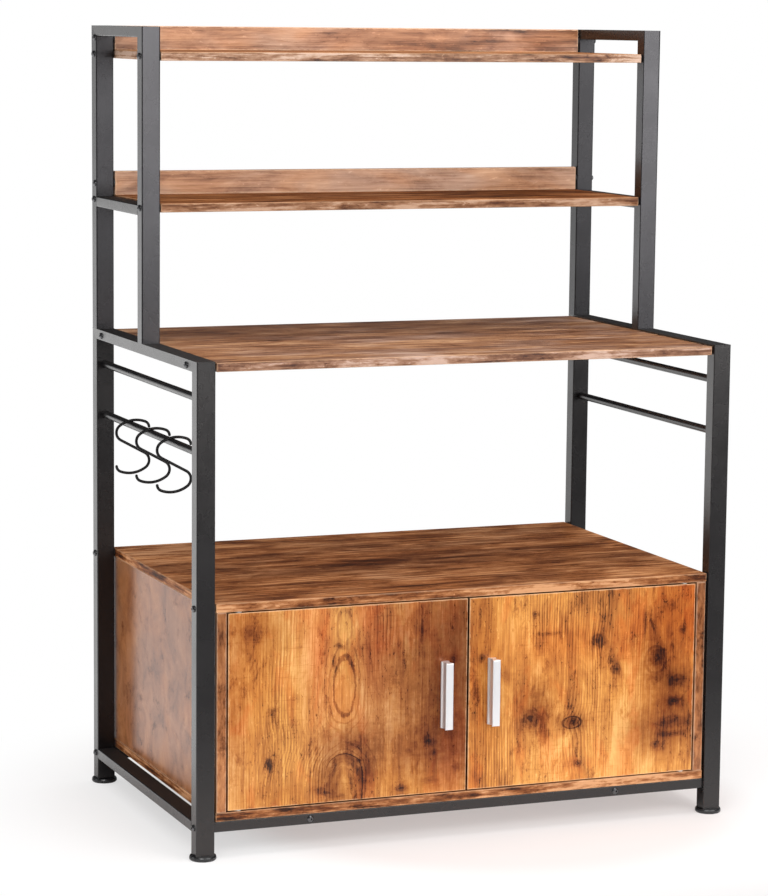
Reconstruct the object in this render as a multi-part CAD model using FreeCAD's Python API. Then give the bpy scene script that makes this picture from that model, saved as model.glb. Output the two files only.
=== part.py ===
import FreeCAD, Part
import math
import os

Vector = FreeCAD.Vector

# Kitchen rack: two welded steel side frames, two shorter upper frames on top of them,
# boards bolted between the frames, and a cabinet with two hinged doors at the bottom.
# X runs across the width, the front faces -Y, Z is up and the floor is at zero.
# The origin is the middle of the lower frame on the floor. Lengths are millimetres.

# Frame as a whole
frame_width = 900.0
frame_depth = 550.0
frame_height = 1265.0
counter_frame_height = 768.5
upper_frame_depth = 275.0

# Steel tubes
post_width = 30.0
post_depth = 25.0
rail_height = 17.0
tube_wall = 1.5
tube_corner = 2.0
bottom_rail_underside = 42.0
shelf_rail_drop = 5.0
cross_rail_width = 30.0
cross_rail_inset = 5.0
floor_bar_offset = 262.0

# Round towel rods in the lower side frames
rod_radius = 6.0
rod_wall = 1.0
upper_rod_drop = 58.8
rod_spacing = 83.4

# Boards between the frames
board_thickness = 14.0
board_inset = 3.0
board_end_gap = 2.5
counter_drop = 2.0
counter_back_inset = 13.0
top_shelf_drop = 53.0
middle_shelf_share = 0.4159
strip_thickness = 14.0
strip_height = 39.0

# Cabinet carcass
cabinet_ceiling_height = 384.5
panel_thickness = 16.0
panel_end_inset = 1.0
back_panel_thickness = 3.0
back_panel_setback = 16.0
groove_depth = 5.0
groove_play = 0.2
dowel_radius = 4.0
dowel_depth_in_board = 10.0
dowel_depth_in_panel = 14.0
dowel_front_distance = 60.0

# Doors and what they turn on
door_thickness = 14.0
door_side_gap = 2.5
door_middle_gap = 3.0
hinge_edge_distance = 18.0
hinge_face_distance = 8.0
hinge_pin_radius = 2.5
hinge_pin_depth_in_door = 12.0
hinge_pin_reach = 9.5
bush_radius = 4.0
bush_length = 10.0
bush_flange_radius = 6.0
bush_flange_thickness = 1.5
door_play = 0.3

# Door handles, their screws, and the magnetic catches
handle_length = 106.0
handle_width = 13.0
handle_projection = 22.0
handle_waist_width = 6.5
handle_plate_thickness = 3.0
handle_corner = 1.2
handle_screw_pitch = 96.0
handle_offset = 40.0
handle_height = 232.0
handle_screw_radius = 2.0
handle_screw_depth = 9.0
handle_screw_head_radius = 4.0
handle_screw_head_height = 2.4
catch_width = 46.0
catch_depth = 14.0
catch_height = 12.0
catch_offset = 31.0
catch_peg_radius = 2.5
catch_peg_length = 8.0
catch_peg_spacing = 30.0
strike_width = 38.0
strike_height = 12.0
strike_thickness = 1.2
strike_drop = 1.5
strike_peg_radius = 1.5
strike_peg_length = 8.0
strike_peg_spacing = 24.0
catch_gap = 0.3

# Bolts with button heads, the nuts they turn into and the spacers at the board ends
bolt_radius = 3.0
bolt_length = 50.0
bolt_head_radius = 5.25
bolt_head_height = 3.3
bolt_head_land_radius = 3.4
bolt_socket_radius = 2.3
bolt_socket_depth = 2.0
bolt_hole_play = 0.3
thread_play = 0.05
barrel_nut_radius = 5.0
barrel_nut_length = 11.0
barrel_nut_distance = 9.0
barrel_nut_play = 0.1
end_nut_length = 20.0
insert_play = 0.15
spacer_radius = 7.0
counter_bolt_offset = 224.0

# Spigots that hold the upper posts on the counter rails
spigot_plug_length = 25.0
spigot_pin_radius = 4.8
spigot_pin_length = 10.0
spigot_play = 0.3

# Levelling feet and their threaded sockets in the post ends
foot_radius = 21.0
foot_height = 7.0
foot_bottom_radius = 19.0
foot_top_radius = 20.0
foot_bevel_height = 2.0
foot_stem_radius = 4.0
foot_stem_length = 30.0
foot_socket_length = 25.0

# Hooks bent from wire, hanging on the left lower rod
hook_wire_radius = 2.25
hook_slant_half_length = 23.0
hook_bend_radius = 14.0
hook_crown_radius = 45.5
hook_tip_radius = 10.0
hook_slant_angle = 28.6
hook_crown_start_angle = 125.0
hook_tip_start_angle = 68.9
hook_tip_end_angle = 5.0
hook_pitch = 108.0
hook_middle_place = -10.0
hook_play = 0.3

# A cut runs past the face that it opens by this much
overrun = 1.0

left = -1
right = 1
sides = {"left": left, "right": right}

# Places that several pieces share
post_outer_x = frame_width / 2
post_inner_x = post_outer_x - post_width
post_middle_x = post_outer_x - post_width / 2
frame_front_y = -frame_depth / 2
frame_back_y = frame_depth / 2
front_post_y = frame_front_y + post_depth / 2
back_post_y = frame_back_y - post_depth / 2
upper_front_y = frame_back_y - upper_frame_depth
upper_post_y = upper_front_y + post_depth / 2
bottom_rail_top = bottom_rail_underside + rail_height
board_end_x = post_inner_x - board_end_gap
board_front_y = frame_front_y + board_inset
board_back_y = frame_back_y - board_inset
cabinet_floor_height = bottom_rail_top + board_thickness
cabinet_top_height = cabinet_ceiling_height + board_thickness
counter_underside = counter_frame_height - counter_drop - board_thickness
panel_outer_x = board_end_x - panel_end_inset
panel_inner_x = panel_outer_x - panel_thickness
panel_back_y = board_back_y
upper_frame_height = frame_height - counter_frame_height
middle_shelf_underside = counter_frame_height + middle_shelf_share * upper_frame_height
top_shelf_underside = frame_height - top_shelf_drop
shelf_rail_underside = middle_shelf_underside - shelf_rail_drop
upper_rod_height = counter_frame_height - upper_rod_drop
lower_rod_height = upper_rod_height - rod_spacing
middle_shelf_top = middle_shelf_underside + board_thickness
top_shelf_top = top_shelf_underside + board_thickness
strip_front_y = frame_back_y - post_depth
strip_back_y = strip_front_y + strip_thickness
strip_middle_y = strip_front_y + strip_thickness / 2
cross_rail_front_y = frame_front_y + cross_rail_inset
cross_rail_back_y = cross_rail_front_y + cross_rail_width
bottom_rail_middle = bottom_rail_underside + rail_height / 2
door_outer_x = panel_inner_x - door_side_gap
door_inner_x = door_middle_gap / 2
door_front_y = board_front_y
door_back_y = door_front_y + door_thickness
door_bottom = cabinet_floor_height + bush_flange_thickness + door_play
door_top = cabinet_ceiling_height - bush_flange_thickness - door_play
hinge_x = door_outer_x - hinge_edge_distance
hinge_y = door_front_y + hinge_face_distance
catch_front_y = door_back_y + strike_thickness + catch_gap
bolt_reach_in_board = bolt_length - post_width - board_end_gap


def box(low, high):
    """A box between two opposite corners, given in any order."""
    near = [min(a, b) for a, b in zip(low, high)]
    far = [max(a, b) for a, b in zip(low, high)]
    lengths = [b - a for a, b in zip(near, far)]
    return Part.makeBox(lengths[0], lengths[1], lengths[2], Vector(near[0], near[1], near[2]))


def cylinder(start, direction, length, radius):
    """A round bar that starts at a point and runs along a direction."""
    return Part.makeCylinder(radius, length, Vector(*start), Vector(*direction))


def joined(shapes):
    """One solid from several that overlap."""
    whole = shapes[0]
    for shape in shapes[1:]:
        whole = whole.fuse(shape)
    return whole.removeSplitter()


def without(shape, cutters):
    """A solid with every cutter taken out of it."""
    for cutter in cutters:
        shape = shape.cut(cutter)
    return shape


def group(shapes):
    """Separate solids that share one node."""
    return Part.makeCompound(shapes)


def along(edge, axis):
    """Whether a straight edge runs along an axis, given as 0, 1 or 2."""
    first = edge.Vertexes[0].Point
    last = edge.Vertexes[-1].Point
    gaps = [abs(last[i] - first[i]) for i in range(3)]
    return gaps[axis] > 10 * (sum(gaps) - gaps[axis])


def square_tube(low, high, axis):
    """A hollow tube with rounded outer corners that runs along an axis and is open at its ends."""
    outer = box(low, high)
    outer = outer.makeFillet(tube_corner, [edge for edge in outer.Edges if along(edge, axis)])
    near = [min(a, b) + tube_wall for a, b in zip(low, high)]
    far = [max(a, b) - tube_wall for a, b in zip(low, high)]
    near[axis] = min(low[axis], high[axis]) - overrun
    far[axis] = max(low[axis], high[axis]) + overrun
    return outer.cut(box(near, far))


def turned(points, place, direction=(0, 0, 1)):
    """A solid turned from an outline of (radius, height) points round an axis through a place."""
    corners = [Vector(radius, 0, height) for radius, height in points]
    face = Part.Face(Part.makePolygon(corners + corners[:1]))
    solid = face.revolve(Vector(0, 0, 0), Vector(0, 0, 1), 360)
    solid.Placement = FreeCAD.Placement(Vector(*place), FreeCAD.Rotation(Vector(0, 0, 1), Vector(*direction)))
    return solid


def mitre_cutter(corner_y, inner_y, top, keeps_post):
    """The side of a mitre plane that one tube loses, at a corner where a post meets a rail.

    The plane runs from the frame's outer top corner to the corner inside the frame."""
    outer_corner = Vector(0, corner_y, top)
    inner_corner = Vector(0, inner_y, top - rail_height)
    slope = (inner_corner - outer_corner).normalize() * (2 * post_depth)
    upward = Vector(0, 0, 2 * post_depth)
    shift = upward if keeps_post else upward * -1
    start = outer_corner - slope
    end = inner_corner + slope
    face = Part.Face(Part.makePolygon([start, end, end + shift, start + shift, start]))
    prism = face.extrude(Vector(frame_width + 2 * overrun, 0, 0))
    prism.translate(Vector(-frame_width / 2 - overrun, 0, 0))
    return prism


def bolt_hole(side, y, z):
    """A clearance hole right through a post or rail, along X."""
    start = (side * (post_inner_x - overrun), y, z)
    return cylinder(start, (side, 0, 0), post_width + 2 * overrun, bolt_radius + bolt_hole_play)


# Bolts through the side frames: the board or rail that each holds, and its place along Y and Z
strip_bolt_heights = {
    "middle_back_strip": middle_shelf_top + strip_height / 2,
    "top_back_strip": top_shelf_top + strip_height / 2,
}
shelf_bolt_heights = {
    "middle_shelf": middle_shelf_underside + board_thickness / 2,
    "top_shelf": top_shelf_underside + board_thickness / 2,
}
counter_bolt_height = counter_underside + board_thickness / 2
cabinet_bolt_height = cabinet_ceiling_height + board_thickness / 2


def lower_front_post(side):
    post = square_tube(
        (side * post_inner_x, frame_front_y, foot_height),
        (side * post_outer_x, frame_front_y + post_depth, counter_frame_height),
        2,
    )
    cutters = [
        mitre_cutter(frame_front_y, frame_front_y + post_depth, counter_frame_height, True),
        bolt_hole(side, front_post_y, cabinet_bolt_height),
        bolt_hole(side, front_post_y, bottom_rail_middle),
    ]
    return without(post, cutters)


def lower_back_post(side):
    post = square_tube(
        (side * post_inner_x, frame_back_y - post_depth, foot_height),
        (side * post_outer_x, frame_back_y, counter_frame_height),
        2,
    )
    cutters = [
        mitre_cutter(frame_back_y, frame_back_y - post_depth, counter_frame_height, True),
        bolt_hole(side, back_post_y, cabinet_bolt_height),
        bolt_hole(side, back_post_y, bottom_rail_middle),
    ]
    return without(post, cutters)


def counter_rail(side):
    """Top rail of a lower frame, mitred to both posts, with holes for two bolts and two spigots."""
    rail = square_tube(
        (side * post_inner_x, frame_front_y, counter_frame_height - rail_height),
        (side * post_outer_x, frame_back_y, counter_frame_height),
        1,
    )
    cutters = [
        mitre_cutter(frame_front_y, frame_front_y + post_depth, counter_frame_height, False),
        mitre_cutter(frame_back_y, frame_back_y - post_depth, counter_frame_height, False),
    ]
    for y in (-counter_bolt_offset, counter_bolt_offset):
        cutters.append(bolt_hole(side, y, counter_bolt_height))
    for y in (upper_post_y, back_post_y):
        start = (side * post_middle_x, y, counter_frame_height - tube_wall - overrun)
        length = tube_wall + 2 * overrun
        cutters.append(cylinder(start, (0, 0, 1), length, spigot_pin_radius + spigot_play))
    return without(rail, cutters)


def bottom_rail(side):
    return square_tube(
        (side * post_inner_x, frame_front_y + post_depth, bottom_rail_underside),
        (side * post_outer_x, frame_back_y - post_depth, bottom_rail_top),
        1,
    )


def towel_rod(side, height):
    """A round tube between the posts of a lower frame."""
    length = frame_depth - 2 * post_depth
    start = (side * post_middle_x, frame_front_y + post_depth, height)
    outer = cylinder(start, (0, 1, 0), length, rod_radius)
    hollow_start = (start[0], start[1] - overrun, start[2])
    return outer.cut(cylinder(hollow_start, (0, 1, 0), length + 2 * overrun, rod_radius - rod_wall))


def upper_front_post(side):
    post = square_tube(
        (side * post_inner_x, upper_front_y, counter_frame_height),
        (side * post_outer_x, upper_front_y + post_depth, frame_height),
        2,
    )
    cutters = [mitre_cutter(upper_front_y, upper_front_y + post_depth, frame_height, True)]
    for height in shelf_bolt_heights.values():
        cutters.append(bolt_hole(side, upper_post_y, height))
    return without(post, cutters)


def upper_back_post(side):
    post = square_tube(
        (side * post_inner_x, frame_back_y - post_depth, counter_frame_height),
        (side * post_outer_x, frame_back_y, frame_height),
        2,
    )
    cutters = [mitre_cutter(frame_back_y, frame_back_y - post_depth, frame_height, True)]
    for height in shelf_bolt_heights.values():
        cutters.append(bolt_hole(side, back_post_y, height))
    for height in strip_bolt_heights.values():
        cutters.append(bolt_hole(side, strip_middle_y, height))
    return without(post, cutters)


def top_rail(side):
    rail = square_tube(
        (side * post_inner_x, upper_front_y, frame_height - rail_height),
        (side * post_outer_x, frame_back_y, frame_height),
        1,
    )
    cutters = [
        mitre_cutter(upper_front_y, upper_front_y + post_depth, frame_height, False),
        mitre_cutter(frame_back_y, frame_back_y - post_depth, frame_height, False),
    ]
    return without(rail, cutters)


def shelf_rail(side):
    return square_tube(
        (side * post_inner_x, upper_front_y + post_depth, shelf_rail_underside),
        (side * post_outer_x, frame_back_y - post_depth, shelf_rail_underside + rail_height),
        1,
    )


def cross_rail(facing):
    """A rail between the two lower frames. Facing is -1 at the front and 1 at the back."""
    outer_y = facing * abs(cross_rail_front_y)
    inner_y = facing * abs(cross_rail_back_y)
    rail = square_tube(
        (-post_inner_x, outer_y, bottom_rail_underside),
        (post_inner_x, inner_y, bottom_rail_top),
        0,
    )
    cutters = []
    for side in sides.values():
        start = (side * floor_bar_offset, outer_y + facing * overrun, bottom_rail_middle)
        length = cross_rail_width + 2 * overrun
        cutters.append(cylinder(start, (0, -facing, 0), length, bolt_radius + bolt_hole_play))
    return without(rail, cutters)


def floor_bar(side):
    """A tube from the front cross rail to the back one, under the cabinet floor."""
    return square_tube(
        (side * floor_bar_offset - cross_rail_width / 2, cross_rail_back_y, bottom_rail_underside),
        (side * floor_bar_offset + cross_rail_width / 2, -cross_rail_back_y, bottom_rail_top),
        1,
    )


def end_fixing_cutters(side, y, z, nut_axis, nut_start):
    """Holes in a board's end: one for a bolt, and one across it for a barrel nut."""
    start = (side * (board_end_x + overrun), y, z)
    bolt = cylinder(start, (-side, 0, 0), bolt_reach_in_board + 2 * overrun, bolt_radius + bolt_hole_play)
    nut_x = side * (board_end_x - barrel_nut_distance)
    along_z = nut_axis == 2
    place = (nut_x, y, nut_start) if along_z else (nut_x, nut_start, z)
    middle = z if along_z else y
    reach = abs(middle - nut_start) + barrel_nut_length / 2 + barrel_nut_play
    direction = (0, 0, 1) if along_z else (0, -1, 0)
    nut = cylinder(place, direction, reach, barrel_nut_radius + barrel_nut_play)
    return [bolt, nut]


def board(front_y, back_y, underside, bolt_places):
    """A board between the frames, held at each end by bolts in barrel nuts put in from below."""
    solid = box((-board_end_x, front_y, underside), (board_end_x, back_y, underside + board_thickness))
    cutters = []
    for side in sides.values():
        for y in bolt_places:
            cutters += end_fixing_cutters(side, y, underside + board_thickness / 2, 2, underside)
    return without(solid, cutters)


def back_strip(name):
    """A low strip that stands on the back of a shelf, with its barrel nuts put in from behind."""
    middle = strip_bolt_heights[name]
    solid = box(
        (-board_end_x, strip_front_y, middle - strip_height / 2),
        (board_end_x, strip_back_y, middle + strip_height / 2),
    )
    cutters = []
    for side in sides.values():
        cutters += end_fixing_cutters(side, strip_middle_y, middle, 1, strip_back_y)
    return without(solid, cutters)


dowel_places = (board_front_y + dowel_front_distance, panel_back_y - dowel_front_distance)
panel_middle_x = panel_outer_x - panel_thickness / 2
groove_front_y = panel_back_y - back_panel_setback - back_panel_thickness
groove_back_y = panel_back_y - back_panel_setback


def dowel_hole(side, y, joint_height, facing):
    """A hole for a dowel in a board (facing 1 goes up into it, -1 goes down)."""
    start = (side * panel_middle_x, y, joint_height - facing * overrun)
    length = dowel_depth_in_board + overrun + groove_play
    return cylinder(start, (0, 0, facing), length, dowel_radius + thread_play)


def bush_hole(side, joint_height, facing):
    start = (side * hinge_x, hinge_y, joint_height - facing * overrun)
    length = bush_length + overrun + groove_play
    return cylinder(start, (0, 0, facing), length, bush_radius + thread_play)


def back_groove(low, high):
    """The groove that holds the back panel, in a board or side panel between two heights."""
    width = panel_inner_x + groove_depth
    return box(
        (-width, groove_front_y - groove_play, low),
        (width, groove_back_y + groove_play, high),
    )


def cabinet_top_board():
    solid = board(board_front_y, board_back_y, cabinet_ceiling_height, (front_post_y, back_post_y))
    low = cabinet_ceiling_height - overrun
    cutters = [back_groove(low, cabinet_ceiling_height + groove_depth)]
    for side in sides.values():
        cutters.append(bush_hole(side, cabinet_ceiling_height, 1))
        for y in dowel_places:
            cutters.append(dowel_hole(side, y, cabinet_ceiling_height, 1))
        for peg_x in catch_peg_places(side):
            start = (peg_x, catch_front_y + catch_depth / 2, low)
            length = catch_peg_length + overrun + groove_play
            cutters.append(cylinder(start, (0, 0, 1), length, catch_peg_radius + thread_play))
    return without(solid, cutters)


def cabinet_bottom_board():
    solid = box(
        (-board_end_x, board_front_y, bottom_rail_top),
        (board_end_x, board_back_y, cabinet_floor_height),
    )
    cutters = [back_groove(cabinet_floor_height - groove_depth, cabinet_floor_height + overrun)]
    for side in sides.values():
        cutters.append(bush_hole(side, cabinet_floor_height, -1))
        for y in dowel_places:
            cutters.append(dowel_hole(side, y, cabinet_floor_height, -1))
    return without(solid, cutters)


def side_panel(side):
    solid = box(
        (side * panel_inner_x, board_front_y, cabinet_floor_height),
        (side * panel_outer_x, panel_back_y, cabinet_ceiling_height),
    )
    cutters = [back_groove(cabinet_floor_height - overrun, cabinet_ceiling_height + overrun)]
    for y in dowel_places:
        length = dowel_depth_in_panel + overrun + groove_play
        for height, facing in ((cabinet_floor_height, 1), (cabinet_ceiling_height, -1)):
            start = (side * panel_middle_x, y, height - facing * overrun)
            cutters.append(cylinder(start, (0, 0, facing), length, dowel_radius + thread_play))
    return without(solid, cutters)


def back_panel():
    width = panel_inner_x + groove_depth - groove_play
    return box(
        (-width, groove_front_y, cabinet_floor_height - groove_depth + groove_play),
        (width, groove_back_y, cabinet_ceiling_height + groove_depth - groove_play),
    )


def panel_dowels():
    dowels = []
    for side in sides.values():
        for y in dowel_places:
            for height, facing in ((cabinet_floor_height, 1), (cabinet_ceiling_height, -1)):
                start = (side * panel_middle_x, y, height - facing * dowel_depth_in_board)
                length = dowel_depth_in_board + dowel_depth_in_panel
                dowels.append(cylinder(start, (0, 0, facing), length, dowel_radius))
    return group(dowels)


def handle_screw_heights():
    return (handle_height - handle_screw_pitch / 2, handle_height + handle_screw_pitch / 2)


def strike_peg_places(side):
    middle = side * catch_offset
    return (middle - strike_peg_spacing / 2, middle + strike_peg_spacing / 2)


def catch_peg_places(side):
    middle = side * catch_offset
    return (middle - catch_peg_spacing / 2, middle + catch_peg_spacing / 2)


strike_top = door_top - strike_drop
strike_middle = strike_top - strike_height / 2


def door(side):
    """A door with holes for its two hinge pins, the handle's screws and the strike's pegs."""
    solid = box(
        (side * door_inner_x, door_front_y, door_bottom),
        (side * door_outer_x, door_back_y, door_top),
    )
    cutters = []
    pin_hole_radius = hinge_pin_radius + thread_play
    pin_hole_length = hinge_pin_depth_in_door + overrun + groove_play
    for height, facing in ((door_bottom, 1), (door_top, -1)):
        start = (side * hinge_x, hinge_y, height - facing * overrun)
        cutters.append(cylinder(start, (0, 0, facing), pin_hole_length, pin_hole_radius))
    for height in handle_screw_heights():
        start = (side * handle_offset, door_front_y - overrun, height)
        length = door_thickness + 2 * overrun
        cutters.append(cylinder(start, (0, 1, 0), length, handle_screw_radius + bolt_hole_play))
    for peg_x in strike_peg_places(side):
        start = (peg_x, door_back_y + overrun, strike_middle)
        length = strike_peg_length + overrun + groove_play
        cutters.append(cylinder(start, (0, -1, 0), length, strike_peg_radius + thread_play))
    return without(solid, cutters)


def hinge_pins(side):
    """The door's lower and upper pins, fixed in the door and turning in the bushes."""
    pins = []
    for height, facing in ((door_bottom, 1), (door_top, -1)):
        start = (side * hinge_x, hinge_y, height - facing * hinge_pin_reach)
        length = hinge_pin_reach + hinge_pin_depth_in_door
        pins.append(cylinder(start, (0, 0, facing), length, hinge_pin_radius))
    return group(pins)


def hinge_bushes():
    """Flanged plastic bushes in the cabinet's floor and ceiling boards."""
    bushes = []
    bore = hinge_pin_radius + thread_play
    outline = [
        (bore, -bush_length),
        (bush_radius, -bush_length),
        (bush_radius, 0),
        (bush_flange_radius, 0),
        (bush_flange_radius, bush_flange_thickness),
        (bore, bush_flange_thickness),
    ]
    for side in sides.values():
        bushes.append(turned(outline, (side * hinge_x, hinge_y, cabinet_floor_height)))
        bushes.append(turned(outline, (side * hinge_x, hinge_y, cabinet_ceiling_height), (0, 0, -1)))
    return group(bushes)


def handle(side):
    """A bar with a hollow down each side for the fingertips, and a threaded hole at each end."""
    front_y = door_front_y - handle_projection
    low = handle_height - handle_length / 2
    middle_x = side * handle_offset
    body = box(
        (middle_x - handle_width / 2, front_y, low),
        (middle_x + handle_width / 2, door_front_y, low + handle_length),
    )
    front_edges = [edge for edge in body.Edges if edge.BoundBox.YMax < front_y + handle_corner]
    cutters = []
    sagitta = (handle_width - handle_waist_width) / 2
    half_chord = handle_projection / 2 - handle_plate_thickness
    scoop_radius = (half_chord**2 + sagitta**2) / (2 * sagitta)
    for facing in (-1, 1):
        centre_x = middle_x + facing * (handle_waist_width / 2 + scoop_radius)
        start = (centre_x, door_front_y - handle_projection / 2, low - overrun)
        cutters.append(cylinder(start, (0, 0, 1), handle_length + 2 * overrun, scoop_radius))
    for height in handle_screw_heights():
        start = (middle_x, door_front_y + overrun, height)
        length = handle_screw_depth + overrun + groove_play
        cutters.append(cylinder(start, (0, -1, 0), length, handle_screw_radius + thread_play))
    return without(body.makeFillet(handle_corner, front_edges), cutters)


def handle_screws(side):
    """Screws from inside the door into the handle's legs."""
    outline = [
        (0, -door_thickness - handle_screw_depth),
        (handle_screw_radius, -door_thickness - handle_screw_depth),
        (handle_screw_radius, 0),
        (handle_screw_head_radius, 0),
        (handle_screw_head_radius, handle_screw_head_height / 2),
        (handle_screw_radius, handle_screw_head_height),
        (0, handle_screw_head_height),
    ]
    place_x = side * handle_offset
    return group([turned(outline, (place_x, door_back_y, height), (0, 1, 0)) for height in handle_screw_heights()])


def strike_plate(side):
    """A thin steel plate with two pegs pressed into the back of a door."""
    middle = side * catch_offset
    plate = box(
        (middle - strike_width / 2, door_back_y, strike_top - strike_height),
        (middle + strike_width / 2, door_back_y + strike_thickness, strike_top),
    )
    shapes = [plate]
    for peg_x in strike_peg_places(side):
        start = (peg_x, door_back_y + strike_thickness, strike_middle)
        shapes.append(cylinder(start, (0, -1, 0), strike_peg_length + strike_thickness, strike_peg_radius))
    return joined(shapes)


def magnetic_catches():
    """One catch for each door, pegged to the underside of the cabinet's top board."""
    catches = []
    for side in sides.values():
        middle = side * catch_offset
        shapes = [
            box(
                (middle - catch_width / 2, catch_front_y, cabinet_ceiling_height - catch_height),
                (middle + catch_width / 2, catch_front_y + catch_depth, cabinet_ceiling_height),
            )
        ]
        for peg_x in catch_peg_places(side):
            start = (peg_x, catch_front_y + catch_depth / 2, cabinet_ceiling_height - catch_height / 2)
            shapes.append(cylinder(start, (0, 0, 1), catch_height / 2 + catch_peg_length, catch_peg_radius))
        catches.append(joined(shapes))
    return group(catches)


def button_bolt(place, direction):
    """A bolt whose head seats on a face at a place, pointing along a direction into the frame."""
    outline = [
        (0, -bolt_length),
        (bolt_radius, -bolt_length),
        (bolt_radius, 0),
        (bolt_head_radius, 0),
        (bolt_head_radius, bolt_head_height / 3),
        (bolt_head_land_radius, bolt_head_height),
        (0, bolt_head_height),
    ]
    outward = tuple(-value for value in direction)
    solid = turned(outline, place, outward)
    socket = Part.Face(Part.makePolygon(hexagon(bolt_socket_radius, bolt_head_height)))
    socket = socket.extrude(Vector(0, 0, -bolt_socket_depth))
    socket.Placement = FreeCAD.Placement(Vector(*place), FreeCAD.Rotation(Vector(0, 0, 1), Vector(*outward)))
    return solid.cut(socket)


def hexagon(radius, height):
    """The closed outline of a hexagon at a height, given its corner radius."""
    angles = [math.radians(60 * step) for step in range(7)]
    return [Vector(radius * math.cos(angle), radius * math.sin(angle), height) for angle in angles]


def board_bolt_places():
    """Where bolts hold board ends: Y, Z, the barrel nut's axis and the face that it goes in from."""
    places = []
    for name, height in shelf_bolt_heights.items():
        for y in (upper_post_y, back_post_y):
            places.append((y, height, 2))
    for height in strip_bolt_heights.values():
        places.append((strip_middle_y, height, 1))
    for y in (-counter_bolt_offset, counter_bolt_offset):
        places.append((y, counter_bolt_height, 2))
    for y in (front_post_y, back_post_y):
        places.append((y, cabinet_bolt_height, 2))
    return places


def frame_bolts():
    """Every bolt of the rack: through the side frames into boards and cross rails, and through
    the cross rails into the floor bars."""
    bolts = []
    for side in sides.values():
        places = [(y, z) for y, z, axis in board_bolt_places()]
        places += [(front_post_y, bottom_rail_middle), (back_post_y, bottom_rail_middle)]
        for y, z in places:
            bolts.append(button_bolt((side * post_outer_x, y, z), (-side, 0, 0)))
        for facing in (-1, 1):
            place = (side * floor_bar_offset, facing * abs(cross_rail_front_y), bottom_rail_middle)
            bolts.append(button_bolt(place, (0, -facing, 0)))
    return group(bolts)


def barrel_nuts():
    nuts = []
    for side in sides.values():
        nut_x = side * (board_end_x - barrel_nut_distance)
        for y, z, axis in board_bolt_places():
            half = barrel_nut_length / 2
            start = (nut_x, y, z - half) if axis == 2 else (nut_x, y - half, z)
            direction = (0, 0, 1) if axis == 2 else (0, 1, 0)
            nut = cylinder(start, direction, barrel_nut_length, barrel_nut_radius)
            bore_start = (nut_x - barrel_nut_radius - overrun, y, z)
            bore_length = 2 * (barrel_nut_radius + overrun)
            nuts.append(nut.cut(cylinder(bore_start, (1, 0, 0), bore_length, bolt_radius + thread_play)))
    return group(nuts)


def end_spacers():
    """Plastic rings that hold the board ends off the posts."""
    spacers = []
    for side in sides.values():
        for y, z, axis in board_bolt_places():
            start = (side * board_end_x, y, z)
            ring = cylinder(start, (side, 0, 0), board_end_gap, spacer_radius)
            bore_start = (side * (board_end_x - overrun), y, z)
            bore_length = board_end_gap + 2 * overrun
            bore = cylinder(bore_start, (side, 0, 0), bore_length, bolt_radius + bolt_hole_play)
            spacers.append(ring.cut(bore))
    return group(spacers)


def end_nuts():
    """Threaded steel blocks in the ends of the cross rails and the floor bars."""
    blocks = []
    margin = tube_wall + insert_play
    low = bottom_rail_underside + margin
    high = bottom_rail_top - margin
    bore_radius = bolt_radius + thread_play
    bore_length = end_nut_length + 2 * overrun
    for side in sides.values():
        for facing in (-1, 1):
            rail_outer_y = facing * (abs(cross_rail_front_y) - margin)
            rail_inner_y = facing * (abs(cross_rail_back_y) + margin)
            block = box(
                (side * post_inner_x, rail_outer_y, low),
                (side * (post_inner_x - end_nut_length), rail_inner_y, high),
            )
            start = (side * (post_inner_x + overrun), facing * back_post_y, bottom_rail_middle)
            blocks.append(block.cut(cylinder(start, (-side, 0, 0), bore_length, bore_radius)))
            bar_end_y = facing * abs(cross_rail_back_y)
            block = box(
                (side * floor_bar_offset - cross_rail_width / 2 + margin, bar_end_y, low),
                (side * floor_bar_offset + cross_rail_width / 2 - margin, bar_end_y - facing * end_nut_length, high),
            )
            start = (side * floor_bar_offset, bar_end_y + facing * overrun, bottom_rail_middle)
            blocks.append(block.cut(cylinder(start, (0, -facing, 0), bore_length, bore_radius)))
    return group(blocks)


def post_plug(side, y, underside, length):
    """A solid block that fits inside the end of a post."""
    margin = tube_wall + insert_play
    return box(
        (side * (post_inner_x + margin), y - post_depth / 2 + margin, underside),
        (side * (post_outer_x - margin), y + post_depth / 2 - margin, underside + length),
    )


def post_spigots():
    """Plugs in the lower ends of the upper posts, each with a pin that drops into the counter rail."""
    spigots = []
    for side in sides.values():
        for y in (upper_post_y, back_post_y):
            plug = post_plug(side, y, counter_frame_height, spigot_plug_length)
            start = (side * post_middle_x, y, counter_frame_height + spigot_plug_length / 2)
            length = spigot_plug_length / 2 + spigot_pin_length
            spigots.append(joined([plug, cylinder(start, (0, 0, -1), length, spigot_pin_radius)]))
    return group(spigots)


def foot_sockets():
    """Threaded plugs in the lower ends of the posts."""
    sockets = []
    for side in sides.values():
        for y in (front_post_y, back_post_y):
            plug = post_plug(side, y, foot_height, foot_socket_length)
            start = (side * post_middle_x, y, foot_height - overrun)
            length = foot_socket_length + 2 * overrun
            sockets.append(plug.cut(cylinder(start, (0, 0, 1), length, foot_stem_radius + thread_play)))
    return group(sockets)


def foot(side, y):
    """A round levelling foot on a threaded stem."""
    outline = [
        (0, 0),
        (foot_bottom_radius, 0),
        (foot_radius, foot_bevel_height),
        (foot_radius, foot_height - foot_bevel_height),
        (foot_top_radius, foot_height),
        (foot_stem_radius, foot_height),
        (foot_stem_radius, foot_height + foot_stem_length),
        (0, foot_height + foot_stem_length),
    ]
    return turned(outline, (side * post_middle_x, y, 0))


def polar(radius, degrees):
    """A point in the hook's plane, X across and Z up, at an angle and distance from its middle."""
    angle = math.radians(degrees)
    return Vector(radius * math.cos(angle), 0, radius * math.sin(angle))


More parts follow.
